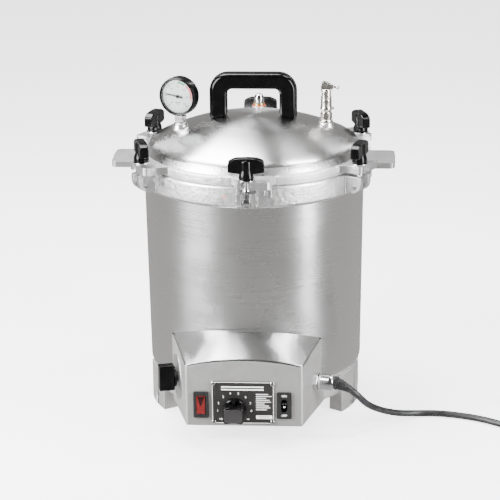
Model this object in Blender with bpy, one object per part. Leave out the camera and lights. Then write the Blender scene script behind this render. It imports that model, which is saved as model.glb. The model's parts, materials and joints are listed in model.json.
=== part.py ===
"""Electric pressure canner: a cast pot on a heated base, with a domed lid held by six swing clamps.

Lengths in this file are millimetres about the pot's axis; make() turns them into metres.
+Z is up and -Y is the front, where the control box is. The floor is at z = 0.
"""

import math

import bmesh
import bpy
import numpy as np
from mathutils import Matrix, Vector

MM = 0.001
GAP = 0.3  # clearance between pieces that touch
ROUND = 40  # sides of the large turned shapes, the same on shapes that fit each other

# Driving dimensions
AXIS_Y = 26.5  # the pot's axis, behind the middle of the object's box
POT_FLOOR = 61.0
POT_R_LOW = 157.0
POT_R_TOP = 160.5
WALL = 5.0
RING_Z = 336.0
RING_R = 163.5
SEAM_Z = 365.0
FLANGE_TOP = 379.0
FLANGE_R = 160.5
CROWN_R = 330.0
DOME_TOP = 430.0
LID_WALL = 4.5
CLAMPS = 6
FIRST_CLAMP = 30.0
CLAMP_R = 179.0
PIN_Z = 348.5
EAR_Z = (369.0, 380.4)
NUT_Z = 380.8
NUT_TURNS = (-10.0, 0.0, 14.0, -13.0, 0.0, 14.0)  # how far each wing nut rests off the rim's line
BOLT_R = 3.75
BOLT_TOP = 387.0
SLOT_HALF = 6.5
CHEEK_HALF = 14.0
TAB_Z = (354.5, 363.5)  # a tab on the rim beside each lug, under the lid's ear
TAB_R = 170.5
TAB_END = 25.5
ARM = (28.3, 34.5)  # the arm that hangs from the ear past the end of the tab, from side to side
ARM_R = (164.6, 172.0)
ARM_LOW = 352.0
PIN_R = 3.0
BASE_R = 151.0
BASE_BOTTOM = 28.0
BOX_X = -4.5
PANEL_Y = -212.0
PANEL_HALF = 82.5
PANEL_LOW = 28.0
PANEL_TOP = 119.0
BOX_BACK_HALF = 110.0
BOX_BACK_Y = -113.0
ROOF_CROWN = 9.0
ROOF_SLOPE = 0.48  # rise over run along the middle of the roof
ROOF_FALL = 0.35  # how much less steep it is at its sides
ROOF_REACH = 1.15  # the roof surface's half width over the box's, so that it clears both sides
SHEET = 4.0
GAUGE_XY = (-106.0, -8.0)
VALVE_XY = (105.5, 8.0)
RELIEF_XY = (2.0, 106.0)
GAUGE_YAW = 20.3  # the gauge faces this far to the left of the front
PLATE_X = (-50.0, 38.0)
PLATE_Z = (33.0, 96.0)
KNOB_X = -18.0
KNOB_Z = 55.0
LAMP_X = -65.4
SWITCH_X = 52.2
WINDOW_Z = 61.0  # height of the lamp and the switch
SIDE_HANDLE_R = 206.3
HANDLE_Z = (358.3, 367.0)
CORD_R = 4.75
COIL_CENTRE = (452.0, -128.0)
COIL_MID_R = 52.0
COIL_HALF = 9.6  # half of the coil's square section
FEET = (22.0, 158.0, 202.0, 338.0)
COVER_SCREWS = ((-120.0, 40.0), (120.0, 40.0), (-60.0, -170.0), (60.0, -185.0))
ELEMENT_R = 4.2
ELEMENT_LOOP_R = 100.0
SCREW_R = 1.6
PLATE_THICK = 1.9
BEZEL = 3.4
SHAFT_R = 3.0
TOGGLE_TILT = 16.0  # the toggle's lean to either side of the middle
BOSS_R = 10.5
BOSS_UP = 4.5  # height of the bosses above the dome at their middle
NECK_R = 5.0
NUT_BORE = 6.4
HANDLE_LEG = 51.0
HANDLE_TOP = 492.1
GAUGE_Z = 459.1
NEEDLE_REST = 82.0
VALVE_PIN_Z = 463.5
LEVER_HALF = 3.8
# Where the lead runs from the gland to the coil, resting on the floor from its fifth point
CORD_POINTS = [
    (152.0, -172.0, 64.0), (168.0, -160.0, 44.0), (187.0, -140.0, 27.0), (212.0, -118.0, 13.0),
    (240.0, -102.0, 6.2), (270.0, -99.0, 5.2), (300.0, -105.0, 5.2), (335.0, -119.0, 5.2),
    (372.0, -145.0, 5.2), (408.5, -179.5, 5.2),
]
PLUG_AT = (405.0, -50.0)
PLUG_TURN = 180.0

# Colours and finishes
MATERIALS = {
    "cast_aluminium": ((0.62, 0.62, 0.63), 0.34, 1.0),
    "satin_casting": ((0.55, 0.55, 0.55), 0.45, 1.0),
    "chrome": ((0.8, 0.8, 0.82), 0.12, 1.0),
    "steel": ((0.5, 0.5, 0.5), 0.35, 1.0),
    "brass": ((0.7, 0.5, 0.2), 0.3, 1.0),
    "black_phenolic": ((0.012, 0.012, 0.013), 0.18, 0.0),
    "dark_plate": ((0.06, 0.06, 0.065), 0.4, 0.0),
    "dial_white": ((0.85, 0.85, 0.82), 0.5, 0.0),
    "clear": ((0.9, 0.95, 0.95), 0.05, 0.0),
    "red_lens": ((0.6, 0.02, 0.015), 0.2, 0.0),
    "red_silicone": ((0.75, 0.16, 0.05), 0.5, 0.0),
    "black_rubber": ((0.02, 0.02, 0.02), 0.55, 0.0),
}


# ---------------------------------------------------------------- helpers

def clear_scene():
    for obj in list(bpy.data.objects):
        bpy.data.objects.remove(obj)


def material(name):
    if name in bpy.data.materials:
        return bpy.data.materials[name]
    colour, roughness, metallic = MATERIALS[name]
    made = bpy.data.materials.new(name)
    made.use_nodes = True
    shader = made.node_tree.nodes["Principled BSDF"]
    shader.inputs["Base Color"].default_value = (*colour, 1.0)
    shader.inputs["Roughness"].default_value = roughness
    shader.inputs["Metallic"].default_value = metallic
    made.diffuse_color = (*colour, 1.0)
    return made


def finish(name, mesh, slot, origin=(0, 0, 0)):
    """An object of this mesh, whose points are millimetres about origin, placed there."""
    mesh.transform(Matrix.Scale(MM, 4))
    mesh.shade_smooth()
    mesh.set_sharp_from_angle(angle=math.radians(35))
    mesh.materials.append(material(slot))
    obj = bpy.data.objects.new(name, mesh)
    bpy.context.scene.collection.objects.link(obj)
    obj.parent = bpy.data.objects["canner_axis"]
    obj.location = Vector(origin) * MM
    return obj


def mesh_of(points, faces):
    mesh = bpy.data.meshes.new("shape")
    mesh.from_pydata([tuple(map(float, p)) for p in points], [], [list(f) for f in faces])
    work = bmesh.new()
    work.from_mesh(mesh)
    bmesh.ops.recalc_face_normals(work, faces=work.faces)
    work.to_mesh(mesh)
    work.free()
    return mesh


def turned(profile, steps=48, matrix=None):
    """The closed outline of (radius, z) points, turned about Z. A point at radius 0 is on the axis."""
    points = []
    rows = []
    for radius, z in profile:
        if radius < 1e-6:
            points.append((0, 0, z))
            rows.append([len(points) - 1] * steps)
            continue
        first = len(points)
        for k in range(steps):
            turn = 2 * math.pi * k / steps
            points.append((radius * math.cos(turn), radius * math.sin(turn), z))
        rows.append(list(range(first, first + steps)))
    faces = []
    for i, row in enumerate(rows):
        below = rows[(i + 1) % len(rows)]
        for k in range(steps):
            after = (k + 1) % steps
            corners = [row[k], row[after], below[after], below[k]]
            face = list(dict.fromkeys(corners))
            if len(face) > 2:
                faces.append(face)
    mesh = mesh_of(points, faces)
    if matrix:
        mesh.transform(matrix)
    return mesh


def prism(outline, low, high, matrix=None):
    """The outline in X and Y, raised from low to high."""
    n = len(outline)
    points = [(x, y, low) for x, y in outline] + [(x, y, high) for x, y in outline]
    faces = [list(range(n)), list(range(n, 2 * n))]
    faces += [(i, (i + 1) % n, n + (i + 1) % n, n + i) for i in range(n)]
    mesh = mesh_of(points, faces)
    if matrix:
        mesh.transform(matrix)
    return mesh


def block(low, high, matrix=None):
    outline = [(low[0], low[1]), (high[0], low[1]), (high[0], high[1]), (low[0], high[1])]
    return prism(outline, low[2], high[2], matrix)


def rounded(half_x, half_y, radius, steps=3):
    """A rectangle's outline with round corners, about the origin."""
    outline = []
    for sx, sy, start in ((1, 1, 0), (-1, 1, 90), (-1, -1, 180), (1, -1, 270)):
        for k in range(steps + 1):
            turn = math.radians(start + 90 * k / steps)
            x = sx * (half_x - radius) + radius * math.cos(turn)
            y = sy * (half_y - radius) + radius * math.sin(turn)
            outline.append((x, y))
    return outline


def rod(radius, low, high, steps=16, matrix=None):
    return turned([(0, low), (radius, low), (radius, high), (0, high)], steps, matrix)


def about_z(degrees):
    return Matrix.Rotation(math.radians(degrees), 4, "Z")


def about_x(degrees):
    return Matrix.Rotation(math.radians(degrees), 4, "X")


def about_y(degrees):
    return Matrix.Rotation(math.radians(degrees), 4, "Y")


def moved(x, y, z):
    return Matrix.Translation((x, y, z))


def combine(mesh, others, operation):
    """This mesh after a Boolean with each of the others."""
    result = mesh
    for other in others:
        base = bpy.data.objects.new("work", result)
        tool = bpy.data.objects.new("tool", other)
        for obj in (base, tool):
            bpy.context.scene.collection.objects.link(obj)
        change = base.modifiers.new("change", "BOOLEAN")
        change.operation = operation
        change.object = tool
        bpy.context.view_layer.update()
        graph = bpy.context.evaluated_depsgraph_get()
        result = bpy.data.meshes.new_from_object(base.evaluated_get(graph))
        bpy.data.objects.remove(base)
        bpy.data.objects.remove(tool)
    return result


def union(mesh, *others):
    return combine(mesh, others, "UNION")


def cut(mesh, *others):
    return combine(mesh, others, "DIFFERENCE")


def joined(first, *others):
    """Shapes that don't touch each other, as one mesh, so that one Boolean takes them all."""
    work = bmesh.new()
    for mesh in (first, *others):
        work.from_mesh(mesh)
    result = bpy.data.meshes.new("shape")
    work.to_mesh(result)
    work.free()
    return result


def arc(centre, radius, start, end, steps):
    """Points on an arc, in degrees, both ends included."""
    turns = [math.radians(start + (end - start) * k / steps) for k in range(steps + 1)]
    return [(centre[0] + radius * math.cos(t), centre[1] + radius * math.sin(t)) for t in turns]


def dome_z(radius):
    """Height of the lid's outer crown at this distance from the axis."""
    return DOME_TOP - CROWN_R + math.sqrt(CROWN_R**2 - radius**2)


def clamp_angles():
    return [FIRST_CLAMP + 360.0 / CLAMPS * k for k in range(CLAMPS)]


# ---------------------------------------------------------------- pot

def clamp_lug():
    """A clevis on the rim for one eye bolt, at azimuth 0."""
    outline = [(158, PIN_Z - 11), (178, PIN_Z - 11), (187, PIN_Z - 5), (190, PIN_Z + 3),
               (190, SEAM_Z - 3), (188, SEAM_Z - 1), (158, SEAM_Z - 1)]
    upright = Matrix(((1, 0, 0, 0), (0, 0, -1, 0), (0, 1, 0, 0), (0, 0, 0, 1)))
    solid = prism(outline, -CHEEK_HALF, CHEEK_HALF, upright)
    tab = block((158, CHEEK_HALF - 2, TAB_Z[0]), (TAB_R, TAB_END, TAB_Z[1]))
    slot = block((165.5, -SLOT_HALF, PIN_Z - 20), (200, SLOT_HALF, SEAM_Z + 5))
    bore = rod(PIN_R + GAP, -20, 20, 12, moved(CLAMP_R, 0, PIN_Z) @ about_x(90))
    return cut(union(solid, tab), slot, bore)


def pot():
    inner = POT_R_TOP - WALL
    profile = [
        (0, POT_FLOOR), (POT_R_LOW - 8, POT_FLOOR), (POT_R_LOW - 2, POT_FLOOR + 2),
        (POT_R_LOW, POT_FLOOR + 8), (POT_R_TOP, RING_Z), (RING_R - 1, RING_Z),
        (RING_R, RING_Z + 1.5), (RING_R, SEAM_Z - 1.5), (RING_R - 1.5, SEAM_Z),
        (inner, SEAM_Z), (POT_R_LOW - WALL, POT_FLOOR + 18), (POT_R_LOW - WALL - 9, POT_FLOOR + 7),
        (0, POT_FLOOR + 6),
    ]
    shell = turned(profile, ROUND)
    lugs = []
    for angle in clamp_angles():
        lug = clamp_lug()
        lug.transform(about_z(angle))
        lugs.append(lug)
    return finish("pot", union(shell, *lugs), "cast_aluminium")


def side_handle(name, side):
    """A flat wide grip fixed to the rim ring, with round corners at its outer end."""
    inner = RING_R + GAP
    outline = arc((SIDE_HANDLE_R - 8, 28), 8, 90, 0, 3) + arc((SIDE_HANDLE_R - 8, -28), 8, 0, -90, 3)
    outline += [(inner - 4, -36), (inner - 4, 36)]
    plate = prism(outline, HANDLE_Z[0], HANDLE_Z[1])
    neck = block((inner - 2, -22, 341), (inner + 9, 22, HANDLE_Z[0] + 1))
    notch = rod(RING_R + GAP, 330, 380, ROUND)
    body = cut(union(plate, neck), notch)
    body.transform(about_z(0 if side > 0 else 180))
    return finish(name, body, "satin_casting")


def clamp_pins():
    for k, angle in enumerate(clamp_angles(), 1):
        at = about_z(angle) @ Vector((CLAMP_R, 0, PIN_Z))
        shape = rod(PIN_R, -CHEEK_HALF - 1.5, CHEEK_HALF + 1.5, 12, about_z(angle) @ about_x(90))
        finish(f"clamp_pin_{k}", shape, "steel", at)


def jar_rack():
    """A perforated plate on a rim, on the pot's floor. Its origin is on the axis."""
    z = POT_FLOOR + 7 + 1
    plate = turned([(0, z + 12), (136, z + 12), (136, z), (138.5, z), (138.5, z + 14), (0, z + 14)], ROUND)
    holes = []
    for ring, count in ((45, 5), (100, 10)):
        for k in range(count):
            place = about_z(360 * k / count) @ moved(ring, 0, 0)
            holes.append(rod(8, z + 5, z + 20, 8, place))
    return finish("jar_rack", cut(plate, joined(*holes)), "satin_casting")


# ---------------------------------------------------------------- base and control box

def box_outline(inset=0.0, back=0.0):
    """The control box from above, pulled in by inset on the front and the sides."""
    return [(BOX_X - PANEL_HALF + inset, PANEL_Y + inset),
            (BOX_X + PANEL_HALF - inset, PANEL_Y + inset),
            (BOX_X + BOX_BACK_HALF - inset, BOX_BACK_Y),
            (BOX_X + BOX_BACK_HALF - inset, back),
            (BOX_X - BOX_BACK_HALF + inset, back),
            (BOX_X - BOX_BACK_HALF + inset, BOX_BACK_Y)]


def box_roof(drop):
    """What lies above the box's roof, lowered by drop.

    The roof is crowned across. It rises to the pot steeply in the middle and gently at the sides.
    """
    columns, top = 16, 400
    points = []
    for y in (PANEL_Y - 48, PANEL_Y + 152):
        back = y - PANEL_Y
        half = PANEL_HALF + (BOX_BACK_HALF - PANEL_HALF) * back / (BOX_BACK_Y - PANEL_Y)
        for k in range(columns + 1):
            u = ROOF_REACH * (2 * k / columns - 1)
            rise = ROOF_CROWN * (1 - u * u) + (ROOF_SLOPE - ROOF_FALL * u * u) * back
            points.append((BOX_X + u * half, y, PANEL_TOP + rise - drop))
        points += [(BOX_X + ROOF_REACH * half, y, top), (BOX_X - ROOF_REACH * half, y, top)]
    n = columns + 3
    faces = [list(range(n)), list(range(n, 2 * n))]
    faces += [(i, (i + 1) % n, n + (i + 1) % n, n + i) for i in range(n)]
    return mesh_of(points, faces)


def foot(angle):
    """A cast foot: a boss on the base ring, with a hollow in its face."""
    outer = arc((0, 0), POT_R_LOW, -11.5, 11.5, 6)
    inner = arc((0, 0), 134, 11.5, -11.5, 4)
    solid = prism(outer + inner, 0, POT_FLOOR - 1.5)
    hollow = prism(arc((0, 0), 160, -4, 4, 2) + arc((0, 0), 148, 4, -4, 2), -1, 17)
    shape = cut(solid, hollow)
    shape.transform(about_z(angle))
    return shape


def base_housing():
    pot_hole = rod(POT_R_TOP + GAP, POT_FLOOR + 5, 320, ROUND)
    under_pot = rod(POT_R_LOW + 0.5, POT_FLOOR - GAP - 0.2, POT_FLOOR + 8, ROUND)
    box = cut(prism(box_outline(0, -70), PANEL_LOW, 300), box_roof(0))
    drum = rod(BASE_R, BASE_BOTTOM, POT_FLOOR - GAP, ROUND)
    solid = cut(union(drum, box, *[foot(a) for a in FEET]), pot_hole, under_pot)
    hollow = cut(prism(box_outline(SHEET, -83), 0, 300), box_roof(SHEET))
    kept = []
    for a in FEET:
        sector = arc((0, 0), 170, a - 14, a + 14, 6) + arc((0, 0), 130, a + 14, a - 14, 4)
        kept.append(prism(sector, -5, BASE_BOTTOM - 2))
    room = cut(rod(BASE_R - 6, 0, POT_FLOOR + 30, ROUND), joined(*kept))
    windows = [prism(rounded(8, 16, 2), -10, 10, panel_frame(x, WINDOW_Z)) for x in (LAMP_X, SWITCH_X)]
    holes = [rod(5.5, -10, 10, 20, panel_frame(KNOB_X, KNOB_Z))]
    holes += [rod(SCREW_R + GAP, -10, 10, 10, panel_frame(x, z)) for x, z in screw_places()]
    holes.append(rod(8.5 + GAP, -10, 10, 20, gland_frame()))
    holes.append(rod(8, -10, 10, 20, selector_frame()))
    shell = cut(solid, hollow, room, joined(*windows, *holes))
    return finish("base_housing", shell, "cast_aluminium")


def panel_frame(x, z):
    """A frame on the front panel: Z points out of it, X to the right and Y up."""
    return moved(x, PANEL_Y, z) @ about_x(90)


def screw_places():
    inset = 2.6
    heights = (PLATE_Z[0] + inset, PLATE_Z[1] - inset)
    return [(x, z) for x in (PLATE_X[0] + inset, PLATE_X[1] - inset) for z in heights]


def side_frame(side, along, height):
    """A frame on the box's side wall: Z points out, and along is measured back from the front corner."""
    front = Vector((BOX_X + side * PANEL_HALF, PANEL_Y, 0))
    back = Vector((BOX_X + side * BOX_BACK_HALF, BOX_BACK_Y, 0))
    run = (back - front).normalized()
    out = Vector((run.y, -run.x, 0)) * side
    at = front + run * along
    up = Vector((0, 0, 1))
    across = up.cross(out)
    axes = Matrix((across, up, out)).transposed().to_4x4()
    return Matrix.Translation((at.x, at.y, height)) @ axes


def gland_frame():
    return side_frame(1, 59.0, 76.0)


def selector_frame():
    return side_frame(-1, 61.0, 80.0)


def bottom_cover():
    """The sheet that closes the base from below, slotted for air under the heater."""
    low, high = BASE_BOTTOM + 1, BASE_BOTTOM + 3.2
    edge = SHEET + GAP + 0.5
    disc = rod(BASE_R - 6 - GAP - 0.5, low, high, ROUND)
    tray = prism(box_outline(edge, -110), low, high)
    slots = [block((x - 2.5, -60, low - 5), (x + 2.5, 60, high + 5)) for x in range(-60, 61, 20)]
    bores = [rod(2.2, low - 5, high + 5, 10, moved(x, y, 0)) for x, y in COVER_SCREWS]
    return finish("bottom_cover", cut(union(disc, tray), joined(*slots, *bores)), "satin_casting")


# ---------------------------------------------------------------- heater and controls inside

def tube(name, route, radius, slot, resolution=2):
    """A round tube along the points of route, closed at both ends."""
    curve = bpy.data.curves.new(name, "CURVE")
    curve.dimensions = "3D"
    curve.bevel_depth = radius * MM
    curve.bevel_resolution = resolution
    curve.use_fill_caps = True
    spline = curve.splines.new("POLY")
    spline.points.add(len(route) - 1)
    for point, place in zip(spline.points, route):
        point.co = (place[0] * MM, place[1] * MM, place[2] * MM, 1)
    curve.materials.append(material(slot))
    obj = bpy.data.objects.new(name, curve)
    bpy.context.scene.collection.objects.link(obj)
    obj.parent = bpy.data.objects["canner_axis"]
    return obj


def heating_element():
    z = POT_FLOOR - GAP - ELEMENT_R - 0.2
    loop = [(x, y, z) for x, y in arc((0, 0), ELEMENT_LOOP_R, -80, 260, 24)]
    right = [(20, -106, z - 2), (22, -116, z - 5), (22, -130, z - 6)]
    left = [(-x, y, z) for x, y, z in right]
    return tube("heating_element", right[::-1] + loop + left, ELEMENT_R, "steel")


def element_clamp():
    top = POT_FLOOR - 2 * ELEMENT_R - 1.2
    edge = ELEMENT_LOOP_R + 2
    plate = turned([(12, top), (edge, top), (edge, top - 3), (12, top - 3)], 24)
    return finish("element_clamp", plate, "steel")


def thermostat_body():
    place = panel_frame(KNOB_X, KNOB_Z)
    back = -SHEET - 0.6
    case = prism(rounded(19, 16, 3), back - 26, back - 3, place)
    bush = rod(4.8, back - 4, SHEET - 2.6, 16, place)
    shaft = rod(SHAFT_R, 0, 20, 16, place)
    return finish("thermostat_body", union(case, bush, shaft), "steel")


def thermostat_sensor():
    z = POT_FLOOR - 5.2
    bulb = rod(4, -35, 35, 12, moved(0, -40, z) @ about_y(90))
    lead = rod(1.2, 34, 52, 8, moved(0, -40, z) @ about_y(90))
    return finish("thermostat_sensor", union(bulb, lead), "brass")


def terminal_block():
    place = moved(58, -168, BASE_BOTTOM + 3.8)
    body = block((-20, -9, 0), (20, 9, 14), place)
    screws = [rod(3, 13, 16, 10, place @ moved(x, 0, 0)) for x in (-12, 0, 12)]
    return finish("terminal_block", union(body, *screws), "dial_white")


def switch_body():
    place = panel_frame(SWITCH_X, WINDOW_Z)
    flange = prism(rounded(10.8, 20.2, 2), GAP, BEZEL, place)
    case = prism(rounded(7.6, 15.6, 1.5), -30, GAP + 1, place)
    slot = prism(rounded(4.4, 9.8, 4.3), -12, BEZEL + 5, place)
    return finish("switch_body", cut(union(flange, case), slot), "dark_plate")


def lamp_body():
    place = panel_frame(LAMP_X, WINDOW_Z)
    flange = prism(rounded(11, 20, 2), GAP, BEZEL, place)
    case = prism(rounded(7.6, 15.6, 1.5), -24, GAP + 1, place)
    pocket = prism(rounded(6.5, 14, 1), -6, BEZEL + 5, place)
    return finish("lamp_body", cut(union(flange, case), pocket), "dark_plate")


def lamp_lens():
    place = panel_frame(LAMP_X, WINDOW_Z)
    outline = rounded(6.5 - GAP, 14 - GAP, 1)
    return finish("lamp_lens", prism(outline, -6 + GAP, BEZEL + 1.2, place), "red_lens")


def faceplate():
    middle = ((PLATE_X[0] + PLATE_X[1]) / 2, (PLATE_Z[0] + PLATE_Z[1]) / 2)
    half = ((PLATE_X[1] - PLATE_X[0]) / 2, (PLATE_Z[1] - PLATE_Z[0]) / 2)
    place = panel_frame(*middle)
    plate = prism(rounded(*half, 2), GAP, PLATE_THICK, place)
    holes = [rod(5.5, -5, 5, 20, panel_frame(KNOB_X, KNOB_Z))]
    holes += [rod(SCREW_R + GAP, -5, 5, 10, panel_frame(x, z)) for x, z in screw_places()]
    return finish("faceplate", cut(plate, joined(*holes)), "dark_plate")


def faceplate_screws():
    for k, (x, z) in enumerate(screw_places(), 1):
        head = [(0, -8), (SCREW_R, -8), (SCREW_R, PLATE_THICK + GAP), (3.3, PLATE_THICK + GAP),
                (3.1, PLATE_THICK + 1.3), (1.8, PLATE_THICK + 2.1), (0, PLATE_THICK + 2.3)]
        finish(f"faceplate_screw_{k}", turned(head, 12, panel_frame(x, z)), "chrome")


def thermostat_knob():
    """A skirt with a deep grip. Its origin is on its shaft, at the panel."""
    skirt = turned([(0, 2.6), (17, 2.6), (17, 6), (15, 8), (0, 8)], 32)
    grip = prism(rounded(15, 12.5, 6, 4), 7, 32)
    bore = rod(SHAFT_R + GAP, -1, 21, 16)
    shape = cut(union(skirt, grip), bore)
    shape.transform(about_x(90))
    finish("thermostat_knob", shape, "black_phenolic", (KNOB_X, PANEL_Y, KNOB_Z))


def switch_toggle():
    """A small lever in the switch's slot, pointing down at rest. Its origin is on its pivot."""
    ball = rod(2.6, -3.2, 3.2, 12, about_y(90))
    lever = turned([(0, 0), (1.6, 0), (2.0, 8.5), (1.4, 9.6), (0, 10)], 12, about_x(TOGGLE_TILT))
    shape = union(ball, lever)
    shape.transform(about_x(90))
    finish("switch_toggle", shape, "chrome", (SWITCH_X, PANEL_Y + 5.5, WINDOW_Z))


def gland():
    place = gland_frame()
    nut = cut(rod(13.5, GAP, 6, 6, place), rod(8.5 + GAP, -5, 15, 20, place))
    body = [(0, -9), (8.5, -9), (8.5, 7), (11, 7), (11.5, 10), (11.5, 24), (10, 28), (7, 30), (0, 30)]
    barrel = cut(turned(body, 20, place), rod(CORD_R + GAP, 14, 40, 16, place))
    finish("gland_nut", nut, "satin_casting")
    finish("gland_body", barrel, "chrome")


def selector():
    """The round plate, the switch behind it and the block-shaped knob on the left side of the box."""
    place = selector_frame()
    plate = turned([(7.5, GAP), (33, GAP), (33, 1.6), (7.5, 1.6)], 32, place)
    finish("selector_plate", plate, "cast_aluminium")
    back = -SHEET - 0.5
    bush = rod(6.8, back - 1, 3, 16, place)
    shaft = rod(3, 0, 14, 16, place)
    case = union(rod(15, back - 18, back, 20, place), bush, shaft)
    finish("selector_switch", case, "dark_plate")
    flange = rod(15, 3.6, 6.5, 24)
    grip = prism(rounded(8, 19, 2.5), 6, 28)
    mark = block((-3, -21, 12), (3, -18, 17))
    shape = cut(union(flange, grip, mark), rod(3 + GAP, -1, 15, 16))
    turn = place.to_3x3().to_4x4()
    shape.transform(turn)
    finish("selector_knob", shape, "black_phenolic", place.translation)


# ---------------------------------------------------------------- clamps

def eye_bolts():
    """Each bolt has an eye on its pin and stands up into its wing nut. Its origin is on the pin."""
    for k, angle in enumerate(clamp_angles(), 1):
        eye = turned([(PIN_R + GAP, -5), (8, -5), (8, 5), (PIN_R + GAP, 5)], 12, about_x(90))
        shank = rod(BOLT_R, 5.5, BOLT_TOP - PIN_Z, 10)
        shape = union(eye, shank)
        shape.transform(about_z(angle))
        at = about_z(angle) @ Vector((CLAMP_R, 0, PIN_Z))
        finish(f"eye_bolt_{k}", shape, "chrome", at)


def wing_nut_shape():
    """A hub with two tall wings, about its own axis, with its foot at z = 0."""
    bore = NUT_BORE
    profile = [(bore, 0), (10.5, 0), (11.3, 1.5), (11.3, 9), (9, 10), (9, 28), (0, 30), (0, 9.5),
               (bore, 9.5)]
    hub = turned(profile, 16)
    wing = [(-25.5, 9.5), (25.5, 9.5), (25.5, 27), (15, 32), (-15, 32), (-25.5, 27)]
    upright = Matrix(((0, 0, -1, 0), (1, 0, 0, 0), (0, 1, 0, 0), (0, 0, 0, 1)))
    wings = cut(prism(wing, -6.5, 6.5, upright), rod(8, 0, 12, 16))
    return union(hub, wings)


def wing_nuts():
    for k, (angle, turn) in enumerate(zip(clamp_angles(), NUT_TURNS), 1):
        shape = wing_nut_shape()
        shape.transform(about_z(angle + turn))
        at = about_z(angle) @ Vector((CLAMP_R, 0, NUT_Z))
        finish(f"wing_nut_{k}", shape, "black_phenolic", at)


# ---------------------------------------------------------------- lid

def lid_ear():
    """A slotted ear at azimuth 0, with an arm hanging from it. The open slot lets the bolt swing out."""
    outline = [(150, -24), (176, -16), (188, -15.5), (191, -13), (191, 31), (187.5, ARM[1]), (168, ARM[1]),
               (150, 40)]
    plate = prism(outline, EAR_Z[0], EAR_Z[1])
    arm = block((ARM_R[0], ARM[0], ARM_LOW), (ARM_R[1], ARM[1], EAR_Z[0] + 2))
    slot = prism(arc((CLAMP_R, 0), SLOT_HALF, 90, 270, 8) + [(200, -SLOT_HALF), (200, SLOT_HALF)], 300, 400)
    return cut(union(plate, arm), slot)


def lid():
    low = SEAM_Z + GAP
    crown = [(r, dome_z(r)) for r in (0, 40, 75, 110, 145)]
    shoulder = [(152, dome_z(145) - 4.5), (156, dome_z(145) - 10.5)]
    edge = [(157.5, FLANGE_TOP + 1.2), (159.5, FLANGE_TOP), (FLANGE_R, FLANGE_TOP - 1.5), (FLANGE_R, low)]
    inner = [(152, low), (152, FLANGE_TOP - 2), (147, FLANGE_TOP + 6)]
    inside = [(r, dome_z(r) - LID_WALL) for r in (138, 110, 75, 40, 0)]
    shell = turned(crown + shoulder + edge + inner + inside, ROUND)
    parts = []
    for angle in clamp_angles():
        ear = lid_ear()
        ear.transform(about_z(angle))
        parts.append(ear)
    for x, y in (GAUGE_XY, VALVE_XY, RELIEF_XY):
        top = dome_z(math.hypot(x, y))
        parts.append(rod(BOSS_R, top - 6, top + BOSS_UP, 20, moved(x, y, 0)))
    shell = union(shell, *parts)
    room = turned([(0, 300), (151.8, 300)] + inner[1:] + inside, ROUND)
    holes = [rod(NECK_R + GAP, 380, 440, 16, moved(x, y, 0)) for x, y in (GAUGE_XY, VALVE_XY, RELIEF_XY)]
    holes += [rod(2.8, 380, 440, 12, moved(x, 0, 0)) for x in (-HANDLE_LEG, HANDLE_LEG)]
    return finish("lid", cut(shell, room, joined(*holes)), "cast_aluminium")


def top_handle():
    """A square U with round shoulders, screwed to the dome through its two feet."""
    outer = [(-63.5, 410)] + arc((-37, HANDLE_TOP - 26.5), 26.5, 180, 90, 6)
    outer += arc((37, HANDLE_TOP - 26.5), 26.5, 90, 0, 6) + [(63.5, 410)]
    inner = [(37.8, 410)] + arc((30.8, HANDLE_TOP - 31), 7, 0, 90, 3)
    inner += arc((-30.8, HANDLE_TOP - 31), 7, 90, 180, 3) + [(-37.8, 410)]
    upright = Matrix(((1, 0, 0, 0), (0, 0, -1, 0), (0, 1, 0, 0), (0, 0, 0, 1)))
    grip = prism(outer + inner, -11, 11, upright)
    under = turned([(0, 300), (200, 300)] + [(r, dome_z(r) + GAP) for r in (200, 150, 110, 75, 60, 45, 30)]
                   + [(0, DOME_TOP + GAP)], ROUND)
    bores = [rod(2.8, 380, 450, 12, moved(x, 0, 0)) for x in (-HANDLE_LEG, HANDLE_LEG)]
    return finish("top_handle", cut(grip, under, joined(*bores)), "black_phenolic")


def handle_bolts():
    for name, x in (("handle_bolt_left", -HANDLE_LEG), ("handle_bolt_right", HANDLE_LEG)):
        inside = dome_z(HANDLE_LEG) - LID_WALL - 2.5
        profile = [(0, inside - 4), (5.5, inside - 4), (5.5, inside), (2.5, inside), (2.5, 448), (0, 448)]
        finish(name, turned(profile, 12, moved(x, 0, 0)), "steel")


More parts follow.
